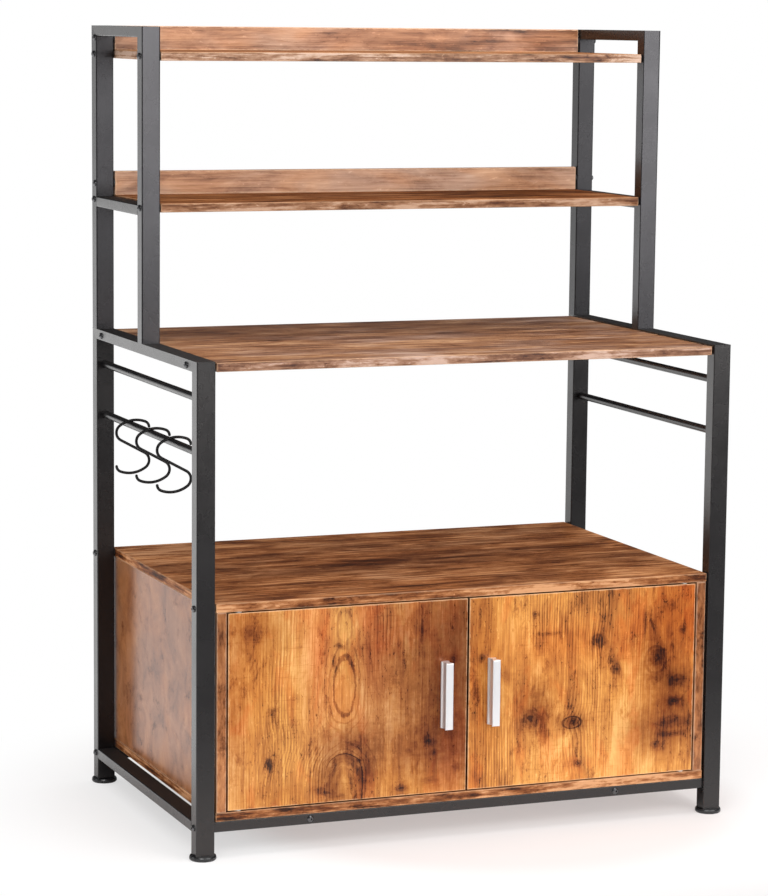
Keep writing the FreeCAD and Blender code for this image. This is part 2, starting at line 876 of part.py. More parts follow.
def upper_hook_arcs():
    """The hook's upper half as (centre, radius, start angle, end angle), from its slant to its tip."""
    normal = polar(1, 90 - hook_slant_angle)
    slant_end = polar(hook_slant_half_length, 180 - hook_slant_angle)
    bend_centre = slant_end + normal * hook_bend_radius
    crown_centre = bend_centre + polar(hook_bend_radius - hook_crown_radius, hook_crown_start_angle)
    tip_centre = crown_centre + polar(hook_crown_radius - hook_tip_radius, hook_tip_start_angle)
    return [
        (bend_centre, hook_bend_radius, 270 - hook_slant_angle, hook_crown_start_angle),
        (crown_centre, hook_crown_radius, hook_crown_start_angle, hook_tip_start_angle),
        (tip_centre, hook_tip_radius, hook_tip_start_angle, hook_tip_end_angle),
    ]


def hook_drop():
    """How far the hook's middle hangs below the rod's axis."""
    crown_centre = upper_hook_arcs()[1][0]
    reach = hook_crown_radius - hook_wire_radius - hook_play - rod_radius
    return crown_centre.z + math.sqrt(reach**2 - crown_centre.x**2)


def hook(y):
    """A wire hook in the shape of an S, with its upper loop over the rod."""
    middle = Vector(left * post_middle_x, y, lower_rod_height - hook_drop())
    upper = []
    lower = []
    for centre, radius, start, end in upper_hook_arcs():
        points = [centre + polar(radius, degrees) for degrees in (end, (start + end) / 2, start)]
        upper.insert(0, [middle + point for point in points])
        lower.append([middle - point for point in reversed(points)])
    slant = Part.makeLine(upper[-1][-1], lower[0][0])
    path = [Part.Arc(*points).toShape() for points in upper] + [slant]
    path += [Part.Arc(*points).toShape() for points in lower]
    tip = upper[0][0]
    tangent = polar(1, hook_tip_end_angle + 90)
    ring = Part.Wire(Part.makeCircle(hook_wire_radius, tip, tangent))
    wire = Part.Wire(path).makePipeShell([ring], True, False)
    ends = [Part.makeSphere(hook_wire_radius, point) for point in (tip, lower[-1][-1])]
    return joined([wire] + ends)


def build_parts():
    parts = {}
    for name, side in sides.items():
        parts[name + "_lower_front_post"] = lower_front_post(side)
        parts[name + "_lower_back_post"] = lower_back_post(side)
        parts[name + "_counter_rail"] = counter_rail(side)
        parts[name + "_bottom_rail"] = bottom_rail(side)
        parts[name + "_upper_towel_rod"] = towel_rod(side, upper_rod_height)
        parts[name + "_lower_towel_rod"] = towel_rod(side, lower_rod_height)
        parts[name + "_upper_front_post"] = upper_front_post(side)
        parts[name + "_upper_back_post"] = upper_back_post(side)
        parts[name + "_top_rail"] = top_rail(side)
        parts[name + "_shelf_rail"] = shelf_rail(side)
        parts[name + "_floor_bar"] = floor_bar(side)
        parts[name + "_side_panel"] = side_panel(side)
        parts[name + "_door"] = door(side)
        parts[name + "_door_handle"] = handle(side)
        parts[name + "_handle_screws"] = handle_screws(side)
        parts[name + "_hinge_pins"] = hinge_pins(side)
        parts[name + "_strike_plate"] = strike_plate(side)
        parts[name + "_front_foot"] = foot(side, front_post_y)
        parts[name + "_back_foot"] = foot(side, back_post_y)
    parts["front_cross_rail"] = cross_rail(-1)
    parts["back_cross_rail"] = cross_rail(1)
    counter_bolts = (-counter_bolt_offset, counter_bolt_offset)
    counter_back_y = frame_back_y - counter_back_inset
    parts["counter_board"] = board(board_front_y, counter_back_y, counter_underside, counter_bolts)
    shelf_front_y = upper_front_y + board_inset
    shelf_bolts = (upper_post_y, back_post_y)
    parts["middle_shelf"] = board(shelf_front_y, board_back_y, middle_shelf_underside, shelf_bolts)
    parts["top_shelf"] = board(shelf_front_y, board_back_y, top_shelf_underside, shelf_bolts)
    parts["middle_back_strip"] = back_strip("middle_back_strip")
    parts["top_back_strip"] = back_strip("top_back_strip")
    parts["cabinet_top_board"] = cabinet_top_board()
    parts["cabinet_bottom_board"] = cabinet_bottom_board()
    parts["cabinet_back_panel"] = back_panel()
    parts["panel_dowels"] = panel_dowels()
    parts["hinge_bushes"] = hinge_bushes()
    parts["magnetic_catches"] = magnetic_catches()
    parts["frame_bolts"] = frame_bolts()
    parts["barrel_nuts"] = barrel_nuts()
    parts["end_spacers"] = end_spacers()
    parts["rail_end_nuts"] = end_nuts()
    parts["post_spigots"] = post_spigots()
    parts["foot_sockets"] = foot_sockets()
    for place, name in ((-1, "front_hook"), (0, "middle_hook"), (1, "back_hook")):
        parts[name] = hook(hook_middle_place + place * hook_pitch)
    return parts


os.makedirs("parts", exist_ok=True)
for node, shape in build_parts().items():
    solids = shape.Solids
    print(node, len(solids), "valid" if shape.isValid() else "NOT VALID", round(sum(s.Volume for s in solids)))
    shape.exportStep("parts/" + node + ".step")
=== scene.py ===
import bpy
import bmesh
import math
from mathutils import Matrix, Vector


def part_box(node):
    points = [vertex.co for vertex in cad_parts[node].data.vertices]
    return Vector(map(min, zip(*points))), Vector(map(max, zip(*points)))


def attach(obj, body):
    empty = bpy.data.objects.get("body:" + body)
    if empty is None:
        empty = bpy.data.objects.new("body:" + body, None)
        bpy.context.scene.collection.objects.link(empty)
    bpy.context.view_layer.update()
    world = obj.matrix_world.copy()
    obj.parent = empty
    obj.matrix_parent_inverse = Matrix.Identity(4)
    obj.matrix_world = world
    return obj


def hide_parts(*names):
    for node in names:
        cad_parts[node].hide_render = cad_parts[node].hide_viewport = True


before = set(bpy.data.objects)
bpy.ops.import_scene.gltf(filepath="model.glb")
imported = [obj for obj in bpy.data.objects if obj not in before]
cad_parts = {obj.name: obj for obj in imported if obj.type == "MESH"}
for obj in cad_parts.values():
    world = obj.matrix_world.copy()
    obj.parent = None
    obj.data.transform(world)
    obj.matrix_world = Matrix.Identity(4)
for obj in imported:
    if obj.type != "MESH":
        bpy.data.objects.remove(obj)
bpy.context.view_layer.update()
scene = bpy.context.scene
sideNames = ("left", "right")
print("frame loaded, nodes:", len(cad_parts))

# camera, floor and light
cameraView = {
    "location": (-1.90561, -4.66898, 1.28181),
    "yaw": 21.81,
    "pitch": 7.88,
    "roll": 0.57,
    "focalPixels": 3107.8,
    "imageHeight": 896,
    "sensor": 36.0,
    "clipEnd": 60,
}


def makeCamera(view):
    yaw, pitch, roll = (math.radians(view[key]) for key in ("yaw", "pitch", "roll"))
    ahead = Vector((math.sin(yaw) * math.cos(pitch), math.cos(yaw) * math.cos(pitch), -math.sin(pitch)))
    levelRight = Vector((math.cos(yaw), -math.sin(yaw), 0))
    levelDown = ahead.cross(levelRight)
    right = levelRight * math.cos(roll) - levelDown * math.sin(roll)
    down = levelRight * math.sin(roll) + levelDown * math.cos(roll)
    data = bpy.data.cameras.new("photoCamera")
    data.sensor_width = view["sensor"]
    data.lens = view["focalPixels"] * view["sensor"] / view["imageHeight"]
    data.clip_end = view["clipEnd"]
    camera = bpy.data.objects.new("photoCamera", data)
    scene.collection.objects.link(camera)
    turn = Matrix((right, -down, -ahead)).transposed()
    camera.matrix_world = Matrix.Translation(view["location"]) @ turn.to_4x4()
    scene.camera = camera


makeCamera(cameraView)
scene.view_settings.view_transform = "Standard"


def addNode(tree, kind, inputs=None, **settings):
    # inputs holds numbers, colours or sockets by name or index
    node = tree.nodes.new(kind)
    for key, value in settings.items():
        setattr(node, key, value)
    for key, value in (inputs or {}).items():
        if isinstance(value, bpy.types.NodeSocket):
            tree.links.new(value, node.inputs[key])
        else:
            node.inputs[key].default_value = value
    return node


def feed(tree, node, values):
    # links values to a node's inputs by name
    for label, value in values.items():
        tree.links.new(value, node.inputs[label])


def calc(tree, operation, *values, clamp=False):
    node = addNode(tree, "ShaderNodeMath", dict(enumerate(values)), operation=operation, use_clamp=clamp)
    return node.outputs[0]


def chain(tree, operation, first, *others):
    # an operation carried on over two or more values
    for other in others:
        first = calc(tree, operation, first, other)
    return first


def swing(tree, value, amount):
    # a noise value turned into a change that goes both ways
    return calc(tree, "MULTIPLY", calc(tree, "SUBTRACT", value, 0.5), amount)


def between(tree, value, low, high, outLow=0.0, outHigh=1.0, smooth=True):
    # a value's place between two limits, as a share
    kind = "SMOOTHSTEP" if smooth else "LINEAR"
    inputs = {"Value": value, "From Min": low, "From Max": high, "To Min": outLow, "To Max": outHigh}
    return addNode(tree, "ShaderNodeMapRange", inputs, interpolation_type=kind).outputs["Result"]


def vectorCalc(tree, operation, *values):
    node = addNode(tree, "ShaderNodeVectorMath", dict(enumerate(values)), operation=operation)
    return node.outputs["Value" if operation == "LENGTH" else "Vector"]


def axes(tree, vector):
    # the three parts of a vector
    return addNode(tree, "ShaderNodeSeparateXYZ", {0: vector}).outputs


def mixColour(tree, share, first, second, blend="MIX"):
    # a Mix node has its colours on inputs 6 and 7 and on output 2
    inputs = {0: share, 6: first, 7: second}
    return addNode(tree, "ShaderNodeMix", inputs, data_type="RGBA", blend_type=blend).outputs[2]


def multiplied(tree, share, colour, tint):
    # a colour multiplied by a tint, as far as the share says
    return mixColour(tree, share, colour, tint + (1,), "MULTIPLY")


def scaleColour(colour, factor, lift=0.0):
    return tuple(min(1, part * factor + lift) for part in colour[:3]) + (1,)


def stretched(tree, place, sizes):
    # the place multiplied axis by axis
    return vectorCalc(tree, "MULTIPLY", place, sizes)


def noise(tree, place, scale, detail, rough, warp=0.0):
    inputs = {"Vector": place, "Scale": scale, "Detail": detail, "Roughness": rough, "Distortion": warp}
    return addNode(tree, "ShaderNodeTexNoise", inputs).outputs[0]


def layered(tree, place, layer):
    # noise from a row of (stretch per axis, detail, roughness, distortion)
    stretch, detail, rough, warp = layer
    return noise(tree, stretched(tree, place, stretch), 1.0, detail, rough, warp)


floorLook = {
    "size": 30.0,
    "colour": (0.90, 0.875, 0.87, 1),
    "white": (1, 1, 1, 1),
    # the paper's shadow and its painted shadow tone go by the distance from this centre
    "centre": (0.11, -0.10, 0),
    "shadow": (0.60, 0.95, 0.58, 1.0),
    # painted shadow: the darker warm colour that the white glow takes near the rack
    "tone": (0.86, 0.79, 0.77, 1),
    "paintedShadowFade": (0.48, 0.35),
    # the dark floor in front of the paper
    "front": (-1.2, -0.4),
    "frontGloss": (0.12, 1.0),
    "frontColour": (0.14, 0.14, 0.15, 1),
    # painted light: the paper on the left glows brighter for mirror rays
    "left": (-0.44, -0.62),
    "leftPaintedGlow": 0.6,
    "mirrorStart": (0.50, 0.75),
}
worldLook = {
    "fill": (0.62, 0.61, 0.605, 1),
    "white": (1, 1, 1, 1),
    "ceiling": (0.04, 0.04, 0.045, 1),
    "wallTop": (0.0, 0.15),
    "behind": (0.15, -0.25),
    "strength": 1.0,
}


def seesBackground(tree, gloss=1.0):
    # 1 for camera and glass rays, and the given level for mirror rays
    path = addNode(tree, "ShaderNodeLightPath").outputs
    mirror = calc(tree, "MULTIPLY", path["Is Glossy Ray"], gloss)
    return chain(tree, "MAXIMUM", path["Is Camera Ray"], mirror, path["Is Transmission Ray"])


def makeFloor(look):
    bm = bmesh.new()
    bmesh.ops.create_grid(bm, x_segments=1, y_segments=1, size=look["size"] / 2)
    mesh = bpy.data.meshes.new("studioFloor")
    bm.to_mesh(mesh)
    bm.free()
    floor = bpy.data.objects.new("studioFloor", mesh)
    scene.collection.objects.link(floor)
    material = bpy.data.materials.new("studioFloor")
    material.use_nodes = True
    tree = material.node_tree
    tree.nodes.clear()
    # paper that takes the shadow near the rack and fades to plain white away from it
    where = addNode(tree, "ShaderNodeTexCoord").outputs["Object"]
    away = vectorCalc(tree, "LENGTH", where)
    fromCentre = vectorCalc(tree, "LENGTH", vectorCalc(tree, "SUBTRACT", where, look["centre"]))
    whiter = between(tree, fromCentre, *look["shadow"])
    # painted shadow: the white glow turns to a darker warm tone under and before the rack
    white = mixColour(tree, between(tree, fromCentre, *look["paintedShadowFade"]), look["white"], look["tone"])
    fromLeft, fromFront = axes(tree, where)[:2]
    # painted light: the paper on the left glows brighter for mirror rays only, which shows as a bright
    # reflection in the rack's left faces
    paintedLeftGlow = chain(tree, "MULTIPLY", between(tree, fromLeft, *look["left"]), look["leftPaintedGlow"],
                addNode(tree, "ShaderNodeLightPath").outputs["Is Glossy Ray"])
    glow = addNode(tree, "ShaderNodeEmission", {"Color": white, "Strength": calc(tree, "ADD", 1.0, paintedLeftGlow)})
    # the studio floor is dark in front of the paper, where only mirrors and side views reach
    onPaper = between(tree, fromFront, *look["front"])
    paper = addNode(tree, "ShaderNodeBsdfDiffuse",
                    {"Color": mixColour(tree, onPaper, look["frontColour"], look["colour"])})
    gloss = between(tree, onPaper, 0.0, 1.0, *look["frontGloss"], smooth=False)
    # close to the rack mirrors see the paper with its shadow
    gloss = calc(tree, "MULTIPLY", gloss, between(tree, away, *look["mirrorStart"]))
    share = calc(tree, "MULTIPLY", seesBackground(tree, gloss), whiter)
    both = addNode(tree, "ShaderNodeMixShader", {0: share, 1: paper.outputs[0], 2: glow.outputs[0]})
    addNode(tree, "ShaderNodeOutputMaterial", {"Surface": both.outputs[0]})
    mesh.materials.append(material)


def makeWorld(look):
    world = bpy.data.worlds.new("studioWorld")
    scene.world = world
    world.use_nodes = True
    tree = world.node_tree
    tree.nodes.clear()
    # a white wall behind the rack, and a dark room above and in front that only mirrors show
    toward = axes(tree, addNode(tree, "ShaderNodeTexCoord").outputs["Generated"])
    dark = calc(tree, "MAXIMUM", between(tree, toward[2], *look["wallTop"]),
                between(tree, toward[1], *look["behind"]))
    mirror = calc(tree, "MULTIPLY", addNode(tree, "ShaderNodeLightPath").outputs["Is Glossy Ray"], dark)
    colour = mixColour(tree, seesBackground(tree), look["fill"], look["white"])
    colour = mixColour(tree, mirror, colour, look["ceiling"])
    back = addNode(tree, "ShaderNodeBackground", {"Color": colour, "Strength": look["strength"]})
    addNode(tree, "ShaderNodeOutputWorld", {"Surface": back.outputs[0]})


lampList = {
    "frontKey": {"place": (-2.2, -3.6, 3.0), "aim": (0, 0, 0.6), "size": (2.4, 1.8), "watts": 96},
    "frontPanel": {"place": (1.15, -3.1, 1.52), "aim": (0, 0, 1.1), "size": (2.7, 1.8), "watts": 72},
    "leftSide": {"place": (-3.2, 0.6, 0.6), "aim": (-0.4, 0, 0.25), "size": (1.6, 1.2), "watts": 14},
    "topFill": {"place": (0.4, -0.6, 3.6), "aim": (0, 0, 0.5), "size": (2.6, 2.0), "watts": 55},
}


def makeLamp(name, look):
    data = bpy.data.lights.new(name, "AREA")
    data.shape = "RECTANGLE"
    data.size, data.size_y = look["size"]
    data.energy = look["watts"]
    lamp = bpy.data.objects.new(name, data)
    scene.collection.objects.link(lamp)
    lamp.location = look["place"]
    lamp.rotation_euler = (Vector(look["aim"]) - Vector(look["place"])).to_track_quat("-Z", "Y").to_euler()


makeFloor(floorLook)
makeWorld(worldLook)
for lampName, lampLook in lampList.items():
    makeLamp(lampName, lampLook)
print("camera, floor and lights ready")

# shared effects, as node groups


def newGroup(name, inputs, outputs):
    # inputs are (name, socket kind, default) rows, outputs are (name, socket kind) rows
    tree = bpy.data.node_groups.new(name, "ShaderNodeTree")
    for label, kind, value in inputs:
        socket = tree.interface.new_socket(name=label, in_out="INPUT", socket_type="NodeSocket" + kind)
        if value is not None:
            socket.default_value = value
    for label, kind in outputs:
        tree.interface.new_socket(name=label, in_out="OUTPUT", socket_type="NodeSocket" + kind)
    return tree, tree.nodes.new("NodeGroupInput").outputs, tree.nodes.new("NodeGroupOutput")


def addGroup(tree, group, inputs):
    return addNode(tree, "ShaderNodeGroup", inputs, node_tree=group).outputs


edgeShape = {
    "noise": (90.0, 3.0, 0.6),
    "breakGain": 4.0,
    "leastReach": 0.0002,
    "fade": (0.35, 1.0, 1.0, 0.0),
}


def makeEdgeGroup(shape):
    # how near a point on a box is to one of its edges, 1 on the edge
    tree, given, outside = newGroup("boxEdge", [
        ("Place", "Vector", None), ("Low", "Vector", (0, 0, 0)), ("High", "Vector", (1, 1, 1)),
        ("Width", "Float", 0.003), ("Break", "Float", 0.5)], [("Edge", "Float")])
    fromLow = vectorCalc(tree, "SUBTRACT", given["Place"], given["Low"])
    toHigh = vectorCalc(tree, "SUBTRACT", given["High"], given["Place"])
    parts = axes(tree, vectorCalc(tree, "MINIMUM", fromLow, toHigh))
    total, least, most = (chain(tree, kind, *parts) for kind in ("ADD", "MINIMUM", "MAXIMUM"))
    # the least part is 0 on a face, so the middle one is the distance to the nearest edge
    distance = chain(tree, "SUBTRACT", total, least, most)
    ragged = noise(tree, given["Place"], *shape["noise"])
    broken = swing(tree, ragged, calc(tree, "MULTIPLY", given["Break"], shape["breakGain"]))
    reach = calc(tree, "MULTIPLY", given["Width"], calc(tree, "ADD", 1.0, broken))
    share = calc(tree, "DIVIDE", distance, calc(tree, "MAXIMUM", reach, shape["leastReach"]))
    feed(tree, outside, {"Edge": between(tree, share, *shape["fade"])})
    return tree


knotShape = {
    "pushFall": -0.28,
    "haloFall": -0.34,
    "ripples": 11.0,
    "rippleDepth": 0.22,
    "heart": (0.1, 1.3, 1.0, 0.0),
    "heartLevel": 0.78,
    "rimAt": 1.0,
    "rim": (0.22, 0.05),
}


def makeKnotGroup(shape):
    # one knot: how far it pushes the grain aside, its dark heart, the halo and the rim round it
    tree, given, outside = newGroup("woodKnot", [
        ("Place", "Vector", None), ("Centre", "Vector", (0, 0, 0)), ("Size", "Vector", (100, 60, 0)),
        ("Turn", "Float", 0.0), ("Ragged", "Float", 0.0)],
        [("Push", "Float"), ("Heart", "Float"), ("Halo", "Float"), ("Rim", "Float")])
    away = vectorCalc(tree, "SUBTRACT", given["Place"], given["Centre"])
    turned = addNode(tree, "ShaderNodeVectorRotate", {"Vector": away, "Angle": given["Turn"]},
                     rotation_type="Z_AXIS").outputs[0]
    radius = vectorCalc(tree, "LENGTH", vectorCalc(tree, "MULTIPLY", turned, given["Size"]))
    rough = calc(tree, "ADD", radius, given["Ragged"])
    ripple = calc(tree, "SINE", calc(tree, "MULTIPLY", rough, shape["ripples"]))
    heartTone = calc(tree, "ADD", shape["heartLevel"], calc(tree, "MULTIPLY", ripple, shape["rippleDepth"]))
    fromRim = calc(tree, "ABSOLUTE", calc(tree, "SUBTRACT", rough, shape["rimAt"]))
    feed(tree, outside, {
        "Push": calc(tree, "EXPONENT", chain(tree, "MULTIPLY", radius, radius, shape["pushFall"])),
        "Heart": calc(tree, "MULTIPLY", between(tree, rough, *shape["heart"]), heartTone),
        "Halo": calc(tree, "EXPONENT", chain(tree, "MULTIPLY", rough, rough, shape["haloFall"])),
        "Rim": between(tree, fromRim, *shape["rim"]),
    })
    return tree


figureShape = {
    # noise layers as (stretch per axis, detail, roughness, distortion)
    "broad": ((6, 1.7, 3), 2.0, 0.5, 0.0),
    "patch": ((27, 8, 12), 6.0, 0.64, 0.5),
    "streak": ((105, 6, 30), 5.0, 0.64, 0.2),
    "fibre": ((430, 11, 70), 3.0, 0.62, 0.0),
    "force": ((22, 4, 5), 3.0, 0.6, 0.0),
    "smudge": ((34, 15, 16), 8.0, 0.74, 0.2),
    "grit": ((300, 120, 90), 4.0, 0.7, 0.0),
    "fleck": ((210, 75, 60), 3.0, 0.65, 0.0),
    "saw": ((24, 330, 20), 3.0, 0.6, 0.0),
    # the noise values between which a layer comes in, some with the levels at both ends
    "forceShown": (0.38, 0.62, 0.12, 1.0),
    "smudgeShown": (0.55, 0.68),
    "gritShown": (0.57, 0.68),
    "gritPlaces": (0.56, 0.42, 0.15, 1.0),
    "fleckShown": (0.62, 0.72),
    "sawShown": (0.57, 0.70),
    "sawPlaces": (0.44, 0.58),
    # growth rings
    "ringWander": 1.2,
    "ringRise": 2.2,
    "ringEnd": (0.90, 1.0, 1.0, 0.0),
    "fibreHeight": 0.5,
}


def makeFigureGroup(shape):
    # printed softwood as one tone from dark (0) to pale (1), with its relief and its dull places
    # Place has X across the grain, Y along it and Z through the board, in metres
    tree, given, outside = newGroup("woodFigure", [
        ("Place", "Vector", None), ("Rings", "Float", 0.0), ("Level", "Float", 0.5), ("Broad", "Float", 1.0),
        ("Patch", "Float", 1.0), ("Streak", "Float", 1.0), ("Fibre", "Float", 1.0),
        ("Ring Strength", "Float", 0.5), ("Smudge", "Float", 0.5), ("Grit", "Float", 0.5),
        ("Fleck", "Float", 0.3), ("Saw", "Float", 0.2)],
        [("Tone", "Float"), ("Dull", "Float"), ("Height", "Float")])
    place = given["Place"]
    broad, patch, streak, fibre = (
        layered(tree, place, shape[key]) for key in ("broad", "patch", "streak", "fibre"))
    tone = given["Level"]
    for layer, label in ((broad, "Broad"), (patch, "Patch"), (streak, "Streak"), (fibre, "Fibre")):
        tone = calc(tree, "ADD", tone, swing(tree, layer, given[label]))
    # growth rings rise slowly and end sharply, with a strength that comes and goes
    wander = calc(tree, "MULTIPLY", streak, shape["ringWander"])
    step = calc(tree, "FRACT", calc(tree, "ADD", given["Rings"], wander))
    rise = calc(tree, "POWER", step, shape["ringRise"])
    force = between(tree, layered(tree, place, shape["force"]), *shape["forceShown"])
    late = chain(tree, "MULTIPLY", rise, between(tree, step, *shape["ringEnd"]), force,
                 given["Ring Strength"])
    # dark smudges with broken edges
    smudge = between(tree, layered(tree, place, shape["smudge"]), *shape["smudgeShown"])
    smudge = calc(tree, "MULTIPLY", smudge, given["Smudge"])
    # pits that gather in the dark places, and pale chips
    grit = between(tree, layered(tree, place, shape["grit"]), *shape["gritShown"])
    grit = chain(tree, "MULTIPLY", grit, between(tree, patch, *shape["gritPlaces"]), given["Grit"])
    fleck = between(tree, layered(tree, place, shape["fleck"]), *shape["fleckShown"])
    fleck = calc(tree, "MULTIPLY", fleck, given["Fleck"])
    # faint saw marks across the grain
    saw = between(tree, layered(tree, place, shape["saw"]), *shape["sawShown"])
    saw = calc(tree, "MULTIPLY", saw,
               calc(tree, "MULTIPLY", between(tree, broad, *shape["sawPlaces"]), given["Saw"]))
    tone = chain(tree, "SUBTRACT", tone, late, smudge, grit)
    tone = calc(tree, "SUBTRACT", calc(tree, "ADD", tone, fleck), saw)
    relief = calc(tree, "MULTIPLY", fibre, shape["fibreHeight"])
    feed(tree, outside, {
        "Tone": tone,
        "Dull": calc(tree, "MAXIMUM", calc(tree, "MAXIMUM", late, smudge), grit, clamp=True),
        "Height": calc(tree, "SUBTRACT", relief, calc(tree, "ADD", late, grit)),
    })
    return tree


edgeGroup = makeEdgeGroup(edgeShape)
knotGroup = makeKnotGroup(knotShape)
figureGroup = makeFigureGroup(figureShape)


def newMaterial(name, plain):
    # plain holds the numbers that are the same all over
    material = bpy.data.materials.new(name)
    material.use_nodes = True
    tree = material.node_tree
    tree.nodes.clear()
    shader = addNode(tree, "ShaderNodeBsdfPrincipled", plain)
    addNode(tree, "ShaderNodeOutputMaterial", {"Surface": shader.outputs[0]})
    return material, tree, shader


def bumpFrom(tree, height, strength, distance):
    inputs = {"Strength": strength, "Distance": distance, "Height": height}
    return addNode(tree, "ShaderNodeBump", inputs).outputs[0]


# printed wood

woodShape = {
    # the axes across, along and through the grain
    "axes": {"X": (1, 0, 2), "Z": (0, 2, 1), "side": (1, 2, 0)},
    # how far the print leans through a board, and how square to an axis a face has to stand
    "slant": 0.9,
    "facing": 0.7,
    # noise layers as (stretch per axis, detail, roughness, distortion)
    "slowBend": ((9, 1.8, 3), 2.0, 0.5, 0.0),
    "quickBend": ((55, 12, 9), 3.0, 0.6, 0.0),
    "quickShare": 0.2,
    "blotch": ((150, 36, 50), 4.0, 0.66, 0.0),
    "hue": ((11, 4, 6), 3.0, 0.6, 0.4),
    "hueShown": (0.42, 0.62),
    "blush": ((17, 7, 6), 5.0, 0.62, 0.6),
    "blushShown": (0.50, 0.62),
    "blushTint": (0.98, 0.74, 0.66),
    # ragged outlines of knots and stains, as (scale, detail, roughness)
    "ragged": (75.0, 5.0, 0.68),
    "raggedReach": 1.35,
    "haloShare": 0.38,
    "linedRagged": 0.4,
    "linedGain": 0.85,
    "linedBase": 0.15,
    "ringFade": 0.008,
    "ringRagged": 0.0034,
    "ringCore": 0.3,
    # worn edges, lighter both as wear and as a painted highlight, and the surface from its shiny to its dull
    # places
    "edgeWidth": 0.0022,
    "edgeBreak": 0.7,
    "roughness": (0.5, 0.75),
    "dullGloss": 0.4,
    "bump": (0.3, 0.0005),
}


def woodPlace(tree, grain, seed):
    # object coordinates turned so that Y runs along the grain, also along the bands on the ends
    coords = addNode(tree, "ShaderNodeTexCoord").outputs
    where = coords["Object"]
    parts, facing = axes(tree, where), axes(tree, coords["Normal"])
    order = woodShape["axes"][grain]
    across, along, through = (parts[axis] for axis in order)
    slanted = calc(tree, "ADD", across, calc(tree, "MULTIPLY", through, woodShape["slant"]))
    shifted = calc(tree, "ADD", through, seed)
    place = addNode(tree, "ShaderNodeCombineXYZ", {0: slanted, 1: along, 2: shifted}).outputs[0]
    endPlace = addNode(tree, "ShaderNodeCombineXYZ", {0: through, 1: across, 2: shifted}).outputs[0]
    onEnd = calc(tree, "GREATER_THAN", calc(tree, "ABSOLUTE", facing[order[1]]), woodShape["facing"])
    # a Mix node has its vectors on inputs 4 and 5 and on output 1
    printed = addNode(tree, "ShaderNodeMix", {0: onEnd, 4: place, 5: endPlace}, data_type="VECTOR").outputs[1]
    onBand = calc(tree, "GREATER_THAN", woodShape["facing"], calc(tree, "ABSOLUTE", facing[order[2]]))
    return where, printed, onBand


def colourSteps(tree, value, steps):
    # a colour ramp from (position, colour) steps
    node = addNode(tree, "ShaderNodeValToRGB", {0: value})
    marks = node.color_ramp.elements
    for mark, (position, colour) in zip((marks[0], marks[1]), (steps[0], steps[-1])):
        mark.position, mark.color = position, colour + (1,)
    for position, colour in steps[1:-1]:
        marks.new(position).color = colour + (1,)
    return node.outputs[0]


def ringField(tree, across, along, line):
    # distance from a growth centre that lies at a changing depth behind the face
    share = between(tree, along, line["from"], line["to"], smooth=False)
    curve = addNode(tree, "ShaderNodeFloatCurve", {"Value": share})
    points = curve.mapping.curves[0].points
    spots = [((z - line["from"]) / (line["to"] - line["from"]), depth / line["deepest"])
             for z, depth in line["depths"]]
    points[0].location, points[-1].location = spots[0], spots[-1]
    for spot in spots[1:-1]:
        points.new(*spot)
    curve.mapping.update()
    depth = calc(tree, "MULTIPLY", curve.outputs[0], line["deepest"])
    off = calc(tree, "SUBTRACT", across, line["across"])
    squares = (calc(tree, "MULTIPLY", side, side) for side in (off, depth))
    return calc(tree, "SQRT", calc(tree, "ADD", *squares))


def spotAt(tree, flat, spot, turn, ragged):
    # the knot group on a spot: (across, along, half width, half length) in metres
    across, along, halfWide, halfLong = spot
    return addGroup(tree, knotGroup, {
        "Place": flat, "Centre": (across, along, 0), "Size": (1 / halfWide, 1 / halfLong, 0),
        "Turn": math.radians(turn), "Ragged": ragged})


def larger(tree, known, value):
    # the larger of two values, where the first may be missing
    return value if known is None else calc(tree, "MAXIMUM", known, value)


def woodRings(tree, place, look):
    # distance from the growth centre, the same counted in rings, and the place along the grain
    across, along = axes(tree, place)[:2]
    slow, quick = (layered(tree, place, woodShape[key]) for key in ("slowBend", "quickBend"))
    bend = calc(tree, "ADD", swing(tree, slow, look["bend"]),
                swing(tree, quick, look["bend"] * woodShape["quickShare"]))
    across = calc(tree, "ADD", across, bend)
    field = ringField(tree, across, along, look["heart"]) if "heart" in look else across
    return field, calc(tree, "DIVIDE", field, look["ringSize"]), along


def woodKnots(tree, flat, ragged, rings, look):
    # knots push the rings aside and darken the wood
    darkest = None
    for *spot, turn, push, depth in look["knots"]:
        knot = spotAt(tree, flat, spot, turn, ragged)
        rings = calc(tree, "ADD", rings, calc(tree, "MULTIPLY", knot["Push"], push))
        dip = calc(tree, "ADD", calc(tree, "MULTIPLY", knot["Heart"], depth),
                   calc(tree, "MULTIPLY", knot["Halo"], depth * woodShape["haloShare"]))
        darkest = larger(tree, darkest, dip)
    # a dark band round each growth centre
    for *spot, turn, depth in look["arches"]:
        arch = spotAt(tree, flat, spot, turn, calc(tree, "MULTIPLY", ragged, look["archRagged"]))
        darkest = larger(tree, darkest, calc(tree, "MULTIPLY", arch["Rim"], depth))
    return rings, darkest


def ringStrength(tree, flat, ragged, look):
    # full in the zones with many fine lines, and faint outside them
    lines = None
    for spot in look["lined"]:
        zone = spotAt(tree, flat, spot, 0, calc(tree, "MULTIPLY", ragged, woodShape["linedRagged"]))
        lines = larger(tree, lines, zone["Halo"])
    if lines is None:
        return look["Ring Strength"]
    level = calc(tree, "ADD", calc(tree, "MULTIPLY", lines, woodShape["linedGain"]), woodShape["linedBase"])
    return calc(tree, "MULTIPLY", level, look["Ring Strength"])


